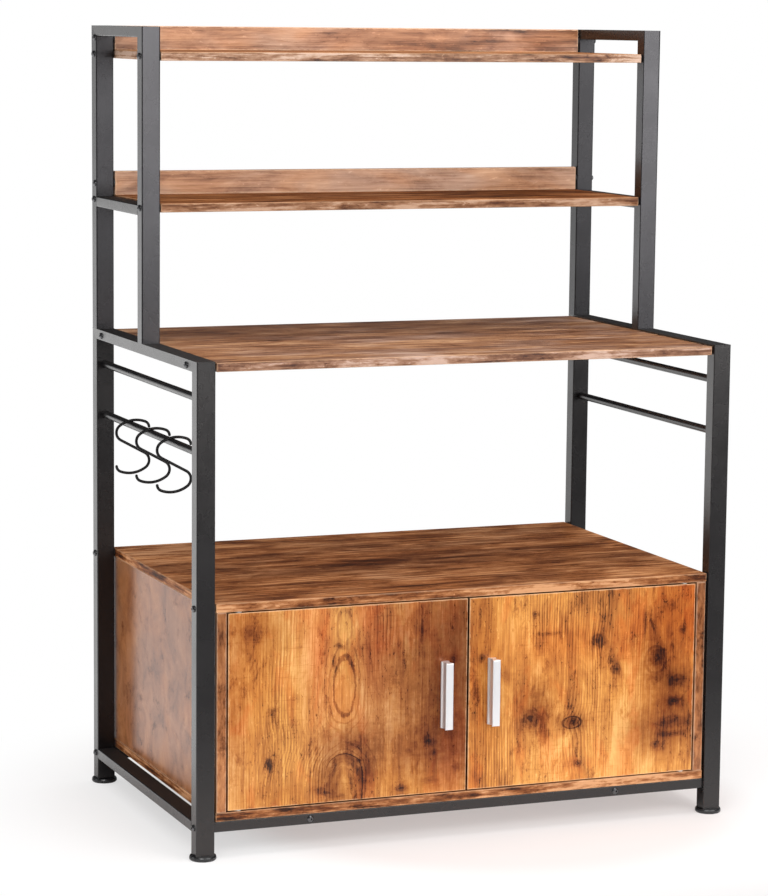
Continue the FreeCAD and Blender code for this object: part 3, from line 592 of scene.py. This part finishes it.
def strongRings(tree, tone, field, along, ragged, look):
    # single growth rings drawn darker than the rest, up to the top of the figure
    top = look["heart"]["top"]
    below = between(tree, along, top, top - woodShape["ringFade"])
    wavy = calc(tree, "ADD", field, calc(tree, "MULTIPLY", ragged, woodShape["ringRagged"]))
    for centre, width, depth in look["strongRings"]:
        gap = calc(tree, "ABSOLUTE", calc(tree, "SUBTRACT", wavy, centre))
        shown = calc(tree, "MULTIPLY", between(tree, gap, width, width * woodShape["ringCore"]), below)
        tone = calc(tree, "SUBTRACT", tone, calc(tree, "MULTIPLY", shown, depth))
    return tone


def woodColour(tree, tone, place, flat, ragged, onBand, look):
    # the tone as a colour, with broad washes, red blushes, tinted edge bands and greyed places
    colour = colourSteps(tree, tone, look["steps"])
    # washes: print patches on the doors, painted shade on the panels and a painted sheen on the counter
    for *spot, turn, tint, amount in look["washes"]:
        wash = spotAt(tree, flat, spot, turn, ragged)
        colour = multiplied(tree, calc(tree, "MULTIPLY", wash["Halo"], amount), colour, tint)
    if "reddening" in look:
        blush = between(tree, layered(tree, place, woodShape["blush"]), *woodShape["blushShown"])
        blush = calc(tree, "MULTIPLY", blush, look["reddening"])
        colour = multiplied(tree, blush, colour, woodShape["blushTint"])
    if "bandTint" in look:
        colour = multiplied(tree, onBand, colour, look["bandTint"])
    hue = between(tree, layered(tree, place, woodShape["hue"]), *woodShape["hueShown"])
    hue = calc(tree, "ADD", hue, calc(tree, "MULTIPLY", onBand, look["bandGrey"]), clamp=True)
    return multiplied(tree, calc(tree, "MULTIPLY", hue, look["greying"]), colour, look["grey"])


figureAmounts = (
    "Level", "Broad", "Patch", "Streak", "Fibre", "Ring Strength", "Smudge", "Grit", "Fleck", "Saw")


def makeWood(name, look, low, high):
    material, tree, shader = newMaterial(name, {
        "Specular IOR Level": 0.0, "Coat Roughness": look["coatRough"]})
    where, printed, onBand = woodPlace(tree, look["grain"], look["seed"])
    place = stretched(tree, printed, look["squeeze"])
    flat = stretched(tree, place, (1, 1, 0))
    ragged = swing(tree, noise(tree, flat, *woodShape["ragged"]), woodShape["raggedReach"])
    field, rings, along = woodRings(tree, place, look)
    rings, darkest = woodKnots(tree, flat, ragged, rings, look)
    amounts = {key: look[key] for key in figureAmounts}
    amounts["Ring Strength"] = ringStrength(tree, flat, ragged, look)
    figure = addGroup(tree, figureGroup, {"Place": place, "Rings": rings, **amounts})
    tone = calc(tree, "ADD", figure["Tone"], calc(tree, "MULTIPLY", onBand, look["bandLift"]))
    if "bandMottle" in look:
        # the printed edge bands are blotched with dark and pale dashes
        blotch = swing(tree, layered(tree, printed, woodShape["blotch"]), look["bandMottle"])
        tone = calc(tree, "ADD", tone, calc(tree, "MULTIPLY", onBand, blotch))
    if darkest is not None:
        tone = calc(tree, "SUBTRACT", tone, darkest)
    if "strongRings" in look:
        tone = strongRings(tree, tone, field, along, ragged, look)
    colour = woodColour(tree, tone, place, flat, ragged, onBand, look)
    edge = addGroup(tree, edgeGroup, {
        "Place": where, "Low": low, "High": high, "Width": woodShape["edgeWidth"],
        "Break": woodShape["edgeBreak"]})["Edge"]
    # the edges turn to the pale edge tint, partly wear and partly a painted highlight
    worn = calc(tree, "MULTIPLY", edge, look["edge"])
    dull, gloss = figure["Dull"], look["gloss"]
    feed(tree, shader, {
        "Base Color": mixColour(tree, worn, colour, look["wearAndHighlightTint"] + (1,)),
        "Roughness": between(tree, dull, 0.0, 1.0, *woodShape["roughness"], smooth=False),
        "Coat Weight": between(tree, dull, 0.0, 1.0, gloss, gloss * woodShape["dullGloss"], smooth=False),
        "Normal": bumpFrom(tree, figure["Height"], *woodShape["bump"]),
    })
    return material


# what a board has where neither its tone nor its own look says otherwise
plainWood = {
    "body": "rack", "rounding": 0.0011, "squeeze": (1, 1, 1), "bandLift": 0.0, "bandGrey": 0.0,
    "knots": (), "lined": (), "arches": (), "washes": (),
}
woodTone = {
    "top": {
        "steps": [(0.0, (0.030, 0.012, 0.007)), (0.25, (0.125, 0.036, 0.012)), (0.5, (0.25, 0.082, 0.025)),
                  (0.75, (0.42, 0.165, 0.058)), (1.0, (0.66, 0.32, 0.14))],
        "wearAndHighlightTint": (0.62, 0.38, 0.22), "edge": 0.32, "grey": (0.72, 0.80, 1.0), "greying": 0.5,
        "Level": 0.61, "Broad": 1.0, "Patch": 1.8, "Streak": 1.9, "Fibre": 0.9, "Ring Strength": 0.35,
        "Smudge": 0.30, "Grit": 0.3, "Fleck": 0.3, "Saw": 0.0, "bend": 0.05, "ringSize": 0.010,
        "grain": "X", "gloss": 0.3, "coatRough": 0.33, "slot": "board_laminate", "bandLift": 0.08,
        "bandGrey": 1.0, "bandMottle": 1.7},
    "strip": {
        "steps": [(0.0, (0.06, 0.028, 0.018)), (0.25, (0.25, 0.105, 0.05)), (0.5, (0.46, 0.225, 0.115)),
                  (0.75, (0.60, 0.33, 0.185)), (1.0, (0.76, 0.48, 0.30))],
        "wearAndHighlightTint": (0.75, 0.50, 0.33), "edge": 0.6, "grey": (0.90, 1.08, 1.40), "greying": 0.9,
        "Level": 0.50, "Broad": 0.9, "Patch": 1.2, "Streak": 0.8, "Fibre": 0.5, "Ring Strength": 0.2,
        "Smudge": 0.08, "Grit": 0.1, "Fleck": 0.2, "Saw": 0.0, "bend": 0.03, "ringSize": 0.008,
        "grain": "X", "gloss": 0.4, "coatRough": 0.3, "slot": "strip_laminate"},
    "panel": {
        "steps": [(0.0, (0.04, 0.016, 0.008)), (0.25, (0.17, 0.055, 0.018)), (0.5, (0.33, 0.125, 0.045)),
                  (0.75, (0.46, 0.195, 0.075)), (1.0, (0.62, 0.31, 0.14))],
        "wearAndHighlightTint": (0.55, 0.36, 0.24), "edge": 0.4, "grey": (0.84, 0.90, 1.10), "greying": 1.0,
        "Level": 0.55, "Broad": 0.6, "Patch": 1.15, "Streak": 0.15, "Fibre": 0.12, "Ring Strength": 0.0,
        "Smudge": 0.3, "Grit": 0.15, "Fleck": 0.2, "Saw": 0.0, "bend": 0.05, "ringSize": 0.012,
        "grain": "side", "gloss": 0.66, "coatRough": 0.20, "slot": "panel_laminate",
        "squeeze": (0.7, 1.8, 1), "bandMottle": 1.6,
        # painted shade: a darker band along the top of the panels, under the cabinet top board
        "washes": [(0.0, 0.71, 4.0, 0.20, 0, (0.72, 0.67, 0.62), 1.0)]},
    "door": {
        "steps": [(0.0, (0.045, 0.020, 0.011)), (0.22, (0.19, 0.062, 0.018)), (0.45, (0.42, 0.157, 0.039)),
                  (0.70, (0.63, 0.28, 0.065)), (1.0, (0.85, 0.48, 0.155))],
        "wearAndHighlightTint": (0.80, 0.50, 0.28), "edge": 0.42, "grey": (0.80, 0.80, 1.0), "greying": 0.35,
        "Level": 0.68, "Broad": 0.8, "Patch": 1.3, "Streak": 0.5, "Fibre": 0.9, "Ring Strength": 0.5,
        "Smudge": 0.22, "Grit": 0.3, "Fleck": 0.2, "Saw": 0.10, "bend": 0.022, "ringSize": 0.0046,
        "grain": "Z", "gloss": 0.5, "coatRough": 0.22, "slot": "door_laminate", "bandLift": -0.50,
        "reddening": 0.75},
}

# boards

pieceShading = {"sharpFrom": 35, "flatWeight": 100, "edgeSegments": 3}


def finishPiece(name, bm, material, body, replaced):
    # turns a bmesh into a piece that rides on a body and stands for CAD nodes
    mesh = bpy.data.meshes.new(name)
    bm.to_mesh(mesh)
    bm.free()
    for face in mesh.polygons:
        face.use_smooth = True
    mesh.set_sharp_from_angle(angle=math.radians(pieceShading["sharpFrom"]))
    mesh.materials.append(material)
    piece = bpy.data.objects.new(name, mesh)
    scene.collection.objects.link(piece)
    # flat faces stay flat beside their rounded edges
    even = piece.modifiers.new("evenShading", "WEIGHTED_NORMAL")
    even.keep_sharp = True
    even.weight = pieceShading["flatWeight"]
    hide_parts(*replaced)
    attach(piece, body)


def boxMesh(low, high):
    bm = bmesh.new()
    size = [b - a for a, b in zip(low, high)]
    middle = [(a + b) / 2 for a, b in zip(low, high)]
    bmesh.ops.create_cube(bm, size=1.0)
    bmesh.ops.scale(bm, vec=size, verts=bm.verts)
    bmesh.ops.translate(bm, vec=middle, verts=bm.verts)
    return bm


def roundEdges(bm, edges, rounding):
    bmesh.ops.bevel(bm, geom=edges, offset=rounding, segments=pieceShading["edgeSegments"], profile=0.5,
                    affect="EDGES", material=-1)


boardLooks = {
    "counter_board": {
        "tone": "top", "seed": 1.7, "Level": 0.69, "Patch": 1.4, "Streak": 1.5, "bandMottle": 1.2,
        # painted sheen: the counter board is greyed and tinted bluish all over, like the pale reflection of
        # grazing light on it
        "greying": 1.0, "grey": (0.84, 0.95, 1.30), "gloss": 0.42,
        "washes": [(0, 0, 5.0, 5.0, 0, (0.92, 1.12, 1.45), 1.0)]},
    "cabinet_top_board": {
        "tone": "top", "seed": 4.1, "gloss": 0.22, "Level": 0.70, "bandMottle": 1.2, "bandLift": 0.02},
    "cabinet_bottom_board": {"tone": "top", "seed": 7.3},
    "middle_shelf": {
        "tone": "top", "seed": 9.9, "gloss": 0.14, "Level": 0.58, "bandLift": 0.20, "bandMottle": 1.1,
        "bandTint": (0.80, 0.98, 1.35)},
    "top_shelf": {
        "tone": "top", "seed": 12.4, "bandLift": 0.14, "bandMottle": 1.0, "bandTint": (1.0, 1.36, 2.10)},
    # the two strips share one print at different levels, the middle one lighter as painted light against the
    # shade of the shelf above it
    "middle_back_strip": {"tone": "strip", "seed": 15.2, "Level": 0.64},
    "top_back_strip": {"tone": "strip", "seed": 18.6, "Level": 0.41, "gloss": 0.45},
    "left_side_panel": {"tone": "panel", "seed": 21.5},
    "right_side_panel": {"tone": "panel", "seed": 24.8},
    "cabinet_back_panel": {
        "tone": "panel", "seed": 27.1, "grain": "Z", "gloss": 0.1, "slot": "back_board",
        "rounding": 0.0003},
    "left_door": {
        "tone": "door", "seed": 30.0, "body": "left_door",
        "Level": 0.69, "Grit": 0.45, "Ring Strength": 0.50, "Smudge": 0.3, "Patch": 1.25,
        # growth centre behind the face: (height, depth) in metres
        "heart": {"across": -0.452, "from": 0.06, "to": 0.40, "deepest": 0.06, "top": 0.322,
                  "depths": [(0.06, 0.034), (0.105, 0.015), (0.155, 0.038), (0.175, 0.046), (0.21, 0.0347),
                             (0.257, 0.030), (0.300, 0.034), (0.318, 0.0365), (0.334, 0.0352),
                             (0.350, 0.0348), (0.366, 0.0356), (0.380, 0.0385), (0.40, 0.041)]},
        # strong rings: distance from the growth centre, half width, darkness
        "strongRings": [(0.0347, 0.0013, 0.36), (0.0395, 0.0012, 0.20), (0.0460, 0.0010, 0.14),
                        (0.0560, 0.0010, 0.14)],
        # lined zones: place, half sizes
        "lined": [(-0.552, 0.230, 0.028, 0.170), (-0.370, 0.350, 0.022, 0.026),
                  (-0.500, 0.110, 0.022, 0.045)],
        # arches: place, half sizes, turn, darkness
        "arches": [(-0.450, 0.068, 0.030, 0.078, 0, 0.34), (-0.452, 0.062, 0.015, 0.062, 0, 0.18),
                   (-0.453, 0.350, 0.0125, 0.027, 0, 0.15)],
        "archRagged": 0.45,
        # knots: place, half sizes, turn, push on the grain, darkness
        "knots": [(-0.577, 0.143, 0.007, 0.013, 0, 1.2, 0.62), (-0.624, 0.236, 0.005, 0.008, 0, 0.3, 0.3),
                  (-0.300, 0.140, 0.010, 0.006, 0, 0.4, 0.35), (-0.308, 0.159, 0.013, 0.009, 20, 0.4, 0.4),
                  (-0.344, 0.148, 0.008, 0.006, 0, 0.3, 0.3), (-0.357, 0.087, 0.013, 0.006, 0, 0.6, 0.4),
                  (-0.308, 0.096, 0.014, 0.007, 0, 0.3, 0.25), (-0.261, 0.111, 0.006, 0.008, 0, 0.3, 0.25),
                  (-0.270, 0.288, 0.008, 0.010, 0, 0.3, 0.35), (-0.459, 0.320, 0.011, 0.005, 20, 0.0, 0.34),
                  (-0.438, 0.163, 0.018, 0.008, 0, 0.0, 0.30), (-0.480, 0.090, 0.024, 0.008, 20, 0.0, 0.42),
                  (-0.606, 0.350, 0.022, 0.016, 0, 0.0, 0.28), (-0.324, 0.336, 0.004, 0.024, 0, 0.2, 0.4)],
        # washes: place, half sizes, turn, colour that the wood is multiplied by, amount
        "washes": [(-0.445, 0.230, 2.0, 2.0, 0, (0.98, 1.05, 1.28), 1.0),
                   (-0.262, 0.345, 0.085, 0.090, 0, (0.54, 0.45, 0.42), 1.0),
                   (-0.262, 0.270, 0.050, 0.090, 0, (0.72, 0.62, 0.60), 1.0),
                   (-0.262, 0.215, 0.055, 0.085, 0, (0.60, 0.48, 0.44), 1.0),
                   (-0.290, 0.155, 0.060, 0.030, 0, (0.62, 0.50, 0.46), 0.9),
                   (-0.300, 0.125, 0.070, 0.035, 0, (0.72, 0.55, 0.45), 0.8),
                   (-0.605, 0.300, 0.030, 0.110, 0, (0.80, 0.60, 0.42), 0.85),
                   (-0.600, 0.355, 0.035, 0.025, 0, (0.62, 0.50, 0.45), 0.8),
                   (-0.385, 0.260, 0.060, 0.080, 0, (0.80, 0.70, 0.72), 0.9),
                   (-0.444, 0.165, 0.030, 0.018, 0, (0.55, 0.42, 0.42), 0.9),
                   (-0.453, 0.350, 0.014, 0.029, 0, (1.24, 1.40, 1.30), 1.0),
                   (-0.451, 0.248, 0.014, 0.042, 0, (1.08, 1.18, 1.0), 0.9),
                   (-0.500, 0.250, 0.025, 0.080, 0, (0.88, 0.76, 0.82), 0.8),
                   (-0.545, 0.200, 0.030, 0.110, 0, (1.04, 1.08, 0.95), 0.9),
                   (-0.350, 0.095, 0.080, 0.022, 10, (1.06, 1.02, 0.80), 0.9),
                   (-0.473, 0.105, 0.012, 0.030, -15, (0.52, 0.42, 0.40), 1.0),
                   (-0.418, 0.115, 0.010, 0.026, 20, (0.55, 0.45, 0.42), 1.0),
                   (-0.640, 0.230, 0.014, 0.060, 0, (0.70, 0.52, 0.42), 0.9),
                   (-0.405, 0.330, 0.016, 0.050, 0, (0.92, 0.66, 0.60), 0.9),
                   (-0.495, 0.335, 0.014, 0.040, 0, (0.98, 0.72, 0.66), 0.9),
                   (-0.560, 0.085, 0.120, 0.020, 0, (0.80, 0.66, 0.50), 0.8)]},
    "right_door": {
        "tone": "door", "seed": 33.3, "body": "right_door",
        "Level": 0.625, "Grit": 0.45, "Ring Strength": 0.5, "Smudge": 0.36, "Patch": 1.5, "greying": 0.15,
        "lined": [(-0.020, 0.300, 0.040, 0.080), (-0.095, 0.345, 0.030, 0.035),
                  (-0.190, 0.120, 0.040, 0.050), (-0.090, 0.140, 0.042, 0.036)],
        "arches": [(-0.063, 0.170, 0.0165, 0.0095, 0, 0.42), (0.084, 0.262, 0.018, 0.022, 0, 0.30)],
        "archRagged": 0.10,
        "knots": [(-0.221, 0.286, 0.007, 0.009, 0, 0.3, 0.45), (-0.019, 0.300, 0.016, 0.012, 20, 0.8, 0.45),
                  (0.015, 0.252, 0.008, 0.013, 0, 0.6, 0.38), (0.086, 0.266, 0.015, 0.017, 0, 1.0, 0.44),
                  (0.084, 0.232, 0.014, 0.011, 0, 0.3, 0.38), (0.124, 0.226, 0.017, 0.012, 0, 0.5, 0.48),
                  (0.119, 0.192, 0.014, 0.009, 0, 0.3, 0.42), (0.114, 0.158, 0.036, 0.012, 0, 0.6, 0.30),
                  (0.118, 0.138, 0.030, 0.006, 0, 0.4, 0.34), (0.086, 0.123, 0.011, 0.008, 0, 0.3, 0.38),
                  (-0.135, 0.182, 0.017, 0.018, 0, 0.5, 0.56), (-0.128, 0.220, 0.009, 0.022, 0, 0.2, 0.26),
                  (-0.063, 0.170, 0.015, 0.009, 0, 1.5, 0.30), (-0.092, 0.140, 0.022, 0.026, 0, 3.0, 0.0),
                  (-0.053, 0.103, 0.011, 0.008, 30, 0.2, 0.38), (0.064, 0.324, 0.004, 0.022, 0, 0.2, 0.42),
                  (-0.107, 0.317, 0.022, 0.004, 0, 0.0, 0.25), (-0.130, 0.350, 0.006, 0.006, 0, 0.2, 0.3),
                  (0.130, 0.309, 0.010, 0.008, 0, 0.3, 0.3), (0.112, 0.350, 0.012, 0.009, 0, 0.3, 0.25)],
        "washes": [(0.102, 0.150, 0.044, 0.024, 0, (0.50, 0.40, 0.38), 1.0),
                   (-0.063, 0.170, 0.014, 0.008, 0, (0.50, 0.40, 0.38), 1.0),
                   (0.090, 0.256, 0.018, 0.026, 0, (0.50, 0.42, 0.40), 1.0),
                   (0.120, 0.226, 0.016, 0.012, 0, (0.45, 0.38, 0.36), 1.0),
                   (0.116, 0.192, 0.018, 0.010, 0, (0.55, 0.42, 0.36), 1.0),
                   (-0.126, 0.196, 0.018, 0.026, 0, (0.60, 0.52, 0.52), 1.0),
                   (0.120, 0.340, 0.045, 0.060, 0, (0.74, 0.48, 0.32), 0.9),
                   (0.110, 0.230, 0.050, 0.090, 0, (0.74, 0.54, 0.42), 0.75),
                   (-0.222, 0.250, 0.020, 0.120, 0, (0.72, 0.55, 0.40), 0.8),
                   (-0.080, 0.300, 0.060, 0.025, 0, (0.90, 0.66, 0.55), 0.8),
                   (-0.120, 0.200, 0.045, 0.045, 0, (0.80, 0.66, 0.60), 0.7)]},
}


def makeBoard(node, look):
    low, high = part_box(node)
    look = {**plainWood, **woodTone[look["tone"]], **look}
    material = makeWood(node + "Wood", look, low, high)
    bm = boxMesh(low, high)
    roundEdges(bm, bm.edges[:], look["rounding"])
    finishPiece(node + "_laminated", bm, material, look["body"], [node])


for boardName, boardLook in boardLooks.items():
    makeBoard(boardName, boardLook)
print("boards, panels and doors done")

# steel frame

coatLook = {
    "colour": (0.0042, 0.0038, 0.0042, 1),
    "worn": (0.026, 0.025, 0.026, 1),
    "rough": 0.27,
    "gloss": 0.66,
    "tint": (1.0, 0.96, 0.945, 1),
}
# painted reflection colour: the upper posts' reflections are tinted bluish
upperReflectionTint = (0.98, 0.955, 1.0, 1)
coatShape = {
    # noise as (scale, detail, roughness)
    "speck": (2600.0, 2.0, 0.6),
    "speckShown": (0.60, 0.72, 0.0, 0.25),
    "cloud": (14.0, 3.0, 0.55),
    "cloudShown": (0.3, 0.7),
    "paler": 1.25,
    "dust": (0.6, 0.9, 0.0, 0.4),
    "unevenness": 0.2,
    "bump": (0.25, 0.0002),
}


def makeCoat(name, look):
    # powder coat: fine orange-peel bumps, worn specks, and dust on upward faces
    material, tree, shader = newMaterial(name, {
        "Specular IOR Level": look["gloss"], "Specular Tint": look["tint"]})
    coords = addNode(tree, "ShaderNodeTexCoord").outputs
    speck, cloud = (noise(tree, coords["Object"], *coatShape[key]) for key in ("speck", "cloud"))
    colour = mixColour(tree, between(tree, cloud, *coatShape["cloudShown"]), look["colour"],
                       scaleColour(look["colour"], coatShape["paler"]))
    dusty = between(tree, axes(tree, coords["Normal"])[2], *coatShape["dust"])
    feed(tree, shader, {
        "Base Color": mixColour(tree, between(tree, speck, *coatShape["speckShown"]), colour, look["worn"]),
        "Roughness": calc(tree, "ADD", calc(tree, "ADD", dusty, look["rough"]),
                          swing(tree, cloud, coatShape["unevenness"])),
        "Normal": bumpFrom(tree, speck, *coatShape["bump"]),
    })
    return material


tubeShape = {"corner": 0.002, "parallel": 0.999}


def makeTube(node, axis, mitres=()):
    # a rectangular tube along an axis; each mitre is (point on the cut, direction that is cut away)
    bm = boxMesh(*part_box(node))
    for point, away in mitres:
        bmesh.ops.bisect_plane(bm, geom=bm.verts[:] + bm.edges[:] + bm.faces[:], plane_co=point,
                               plane_no=away, clear_outer=True)
        rim = [edge for edge in bm.edges if edge.is_boundary]
        bmesh.ops.contextual_create(bm, geom=rim)
    long = []
    for edge in bm.edges:
        start, end = (vertex.co for vertex in edge.verts)
        if abs((end - start).normalized()["XYZ".index(axis)]) > tubeShape["parallel"]:
            long.append(edge)
    roundEdges(bm, long, tubeShape["corner"])
    return bm


def cornerCut(corner, inner, away):
    # the mitre plane through a frame's outer and inner corner, as (point, normal)
    along = (Vector(inner) - Vector(corner)).normalized()
    normal = along.cross(Vector((1, 0, 0)))
    if normal.dot(Vector(away)) < 0:
        normal = -normal
    return Vector(corner), normal


coat = makeCoat("frameCoat", coatLook)
# the back posts get copies of the coat with less gloss, painted shade that makes them darker than the front
# posts
postCoats = {
    "_lower_front_post": coat,
    "_lower_back_post": makeCoat("lowerBackShadedCoat", {**coatLook, "gloss": 0.44}),
    "_upper_front_post": makeCoat("upperFrontCoat", {**coatLook, "tint": upperReflectionTint}),
    "_upper_back_post": makeCoat("upperBackShadedCoat", {**coatLook, "gloss": 0.36, "tint": upperReflectionTint}),
}


def makeTopFrame(sideName, level, railKind):
    # two posts and the rail on them, with mitred corners
    railName = sideName + railKind
    railLow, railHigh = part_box(railName)
    ends = (("_front_post", railLow.y, (0, -1, 0)), ("_back_post", railHigh.y, (0, 1, 0)))
    railCuts = []
    for end, outerY, outward in ends:
        post = sideName + level + end
        postLow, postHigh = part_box(post)
        innerY = postHigh.y if end == "_front_post" else postLow.y
        corner, inner = (0, outerY, railHigh.z), (0, innerY, railLow.z)
        railCuts.append(cornerCut(corner, inner, outward))
        bm = makeTube(post, "Z", [cornerCut(corner, inner, (0, 0, 1))])
        finishPiece(post + "_tube", bm, postCoats[level + end], "rack", [post])
    finishPiece(railName + "_tube", makeTube(railName, "Y", railCuts), coat, "rack", [railName])


for sideName in sideNames:
    makeTopFrame(sideName, "_lower", "_counter_rail")
    makeTopFrame(sideName, "_upper", "_top_rail")
    for node in (sideName + "_bottom_rail", sideName + "_shelf_rail", sideName + "_floor_bar"):
        finishPiece(node + "_tube", makeTube(node, "Y"), coat, "rack", [node])
for node in ("front_cross_rail", "back_cross_rail"):
    finishPiece(node + "_tube", makeTube(node, "X"), coat, "rack", [node])
print("steel tubes done")

# small pieces: their CAD nodes stay, with better materials

hookLook = {
    "colour": (0.0035, 0.0035, 0.004, 1),
    "worn": (0.02, 0.02, 0.022, 1),
    "rough": 0.34,
    "gloss": 0.22,
}
# uneven darkens clouds, the side shade paints shade on the faces that look left and right, and brush scales
# the brushing
plainMetal = {"metallic": 1.0, "uneven": 0.82, "sides": 1.0, "brush": 1.0}
metalLooks = {
    "zincSteel": {"colour": (0.58, 0.58, 0.60, 1), "rough": 0.32},
    "satinAluminium": {"colour": (0.92, 0.92, 0.93, 1), "rough": 0.34, "metallic": 0.70, "uneven": 0.97,
                       "sides": 0.75, "brush": 0.25},
    "blackBolt": {"colour": (0.13, 0.13, 0.135, 1), "rough": 0.24, "metallic": 0.9},
}
metalShape = {
    "brushed": ((300, 300, 14), 3.0, 0.6, 0.0),
    "brushedShown": (0.3, 0.7),
    "cloud": (40.0, 3.0, 0.6),
    "sideShadeFacing": (0.25, 0.8),
    "smoother": 0.06,
    "rougher": 0.08,
    "bump": (0.15, 0.0001),
}


def makeMetal(name, look):
    look = {**plainMetal, **look}
    rough, brush = look["rough"], look["brush"]
    material, tree, shader = newMaterial(name, {"Metallic": look["metallic"]})
    coords = addNode(tree, "ShaderNodeTexCoord").outputs
    brushed = layered(tree, coords["Object"], metalShape["brushed"])
    cloud = noise(tree, coords["Object"], *metalShape["cloud"])
    colour = mixColour(tree, cloud, look["colour"], scaleColour(look["colour"], look["uneven"]))
    # painted shade: faces that look left or right take a darker colour
    if look["sides"] < 1:
        sideShadeFacing = calc(tree, "ABSOLUTE", axes(tree, coords["Normal"])[0])
        colour = mixColour(tree, between(tree, sideShadeFacing, *metalShape["sideShadeFacing"]), colour,
                           scaleColour(look["colour"], look["sides"]))
    roughness = (rough - metalShape["smoother"] * brush, rough + metalShape["rougher"] * brush)
    strength, distance = metalShape["bump"]
    feed(tree, shader, {
        "Base Color": colour,
        "Roughness": between(tree, brushed, *metalShape["brushedShown"], *roughness),
        "Normal": bumpFrom(tree, brushed, strength * brush, distance),
    })
    return material


plasticLooks = {
    "blackPlastic": {"colour": (0.018, 0.018, 0.019, 1), "rough": 0.5},
    "footPlastic": {"colour": (0.010, 0.010, 0.011, 1), "rough": 0.28},
    "palePlastic": {"colour": (0.62, 0.61, 0.57, 1), "rough": 0.5},
    "turnedBeech": {"colour": (0.62, 0.42, 0.25, 1), "rough": 0.6},
}
plasticShape = {
    "speck": (1800.0, 2.0, 0.5),
    "cloud": (60.0, 3.0, 0.6),
    "cloudShown": (0.3, 0.7),
    "paler": (1.35, 0.003),
    "smoother": 0.05,
    "rougher": 0.08,
    "bump": (0.2, 0.00012),
}


def makePlastic(name, look):
    colour, rough = look["colour"], look["rough"]
    material, tree, shader = newMaterial(name, {})
    where = addNode(tree, "ShaderNodeTexCoord").outputs["Object"]
    speck, cloud = (noise(tree, where, *plasticShape[key]) for key in ("speck", "cloud"))
    roughness = (rough - plasticShape["smoother"], rough + plasticShape["rougher"])
    feed(tree, shader, {
        "Base Color": mixColour(tree, cloud, colour, scaleColour(colour, *plasticShape["paler"])),
        "Roughness": between(tree, cloud, *plasticShape["cloudShown"], *roughness),
        "Normal": bumpFrom(tree, speck, *plasticShape["bump"]),
    })
    return material


def paint(material, *nodes):
    # a better material on a CAD node's own slots
    for node in nodes:
        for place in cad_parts[node].material_slots:
            place.material = material


metals = {name: makeMetal(name, look) for name, look in metalLooks.items()}
plastics = {name: makePlastic(name, look) for name, look in plasticLooks.items()}
paint(metals["zincSteel"], "barrel_nuts", "rail_end_nuts")
paint(metals["blackBolt"], "frame_bolts")
paint(plastics["blackPlastic"], "end_spacers", "magnetic_catches", "foot_sockets", "post_spigots")
paint(plastics["palePlastic"], "hinge_bushes")
paint(plastics["turnedBeech"], "panel_dowels")
paint(makeCoat("hookCoat", {**coatLook, **hookLook}), "front_hook", "middle_hook", "back_hook")
for sideName in sideNames:
    paint(coat, sideName + "_upper_towel_rod", sideName + "_lower_towel_rod")
    for node in ("_hinge_pins", "_handle_screws", "_strike_plate"):
        paint(metals["zincSteel"], sideName + node)
    paint(metals["satinAluminium"], sideName + "_door_handle")
    paint(plastics["footPlastic"], sideName + "_front_foot", sideName + "_back_foot")
print("small pieces painted")
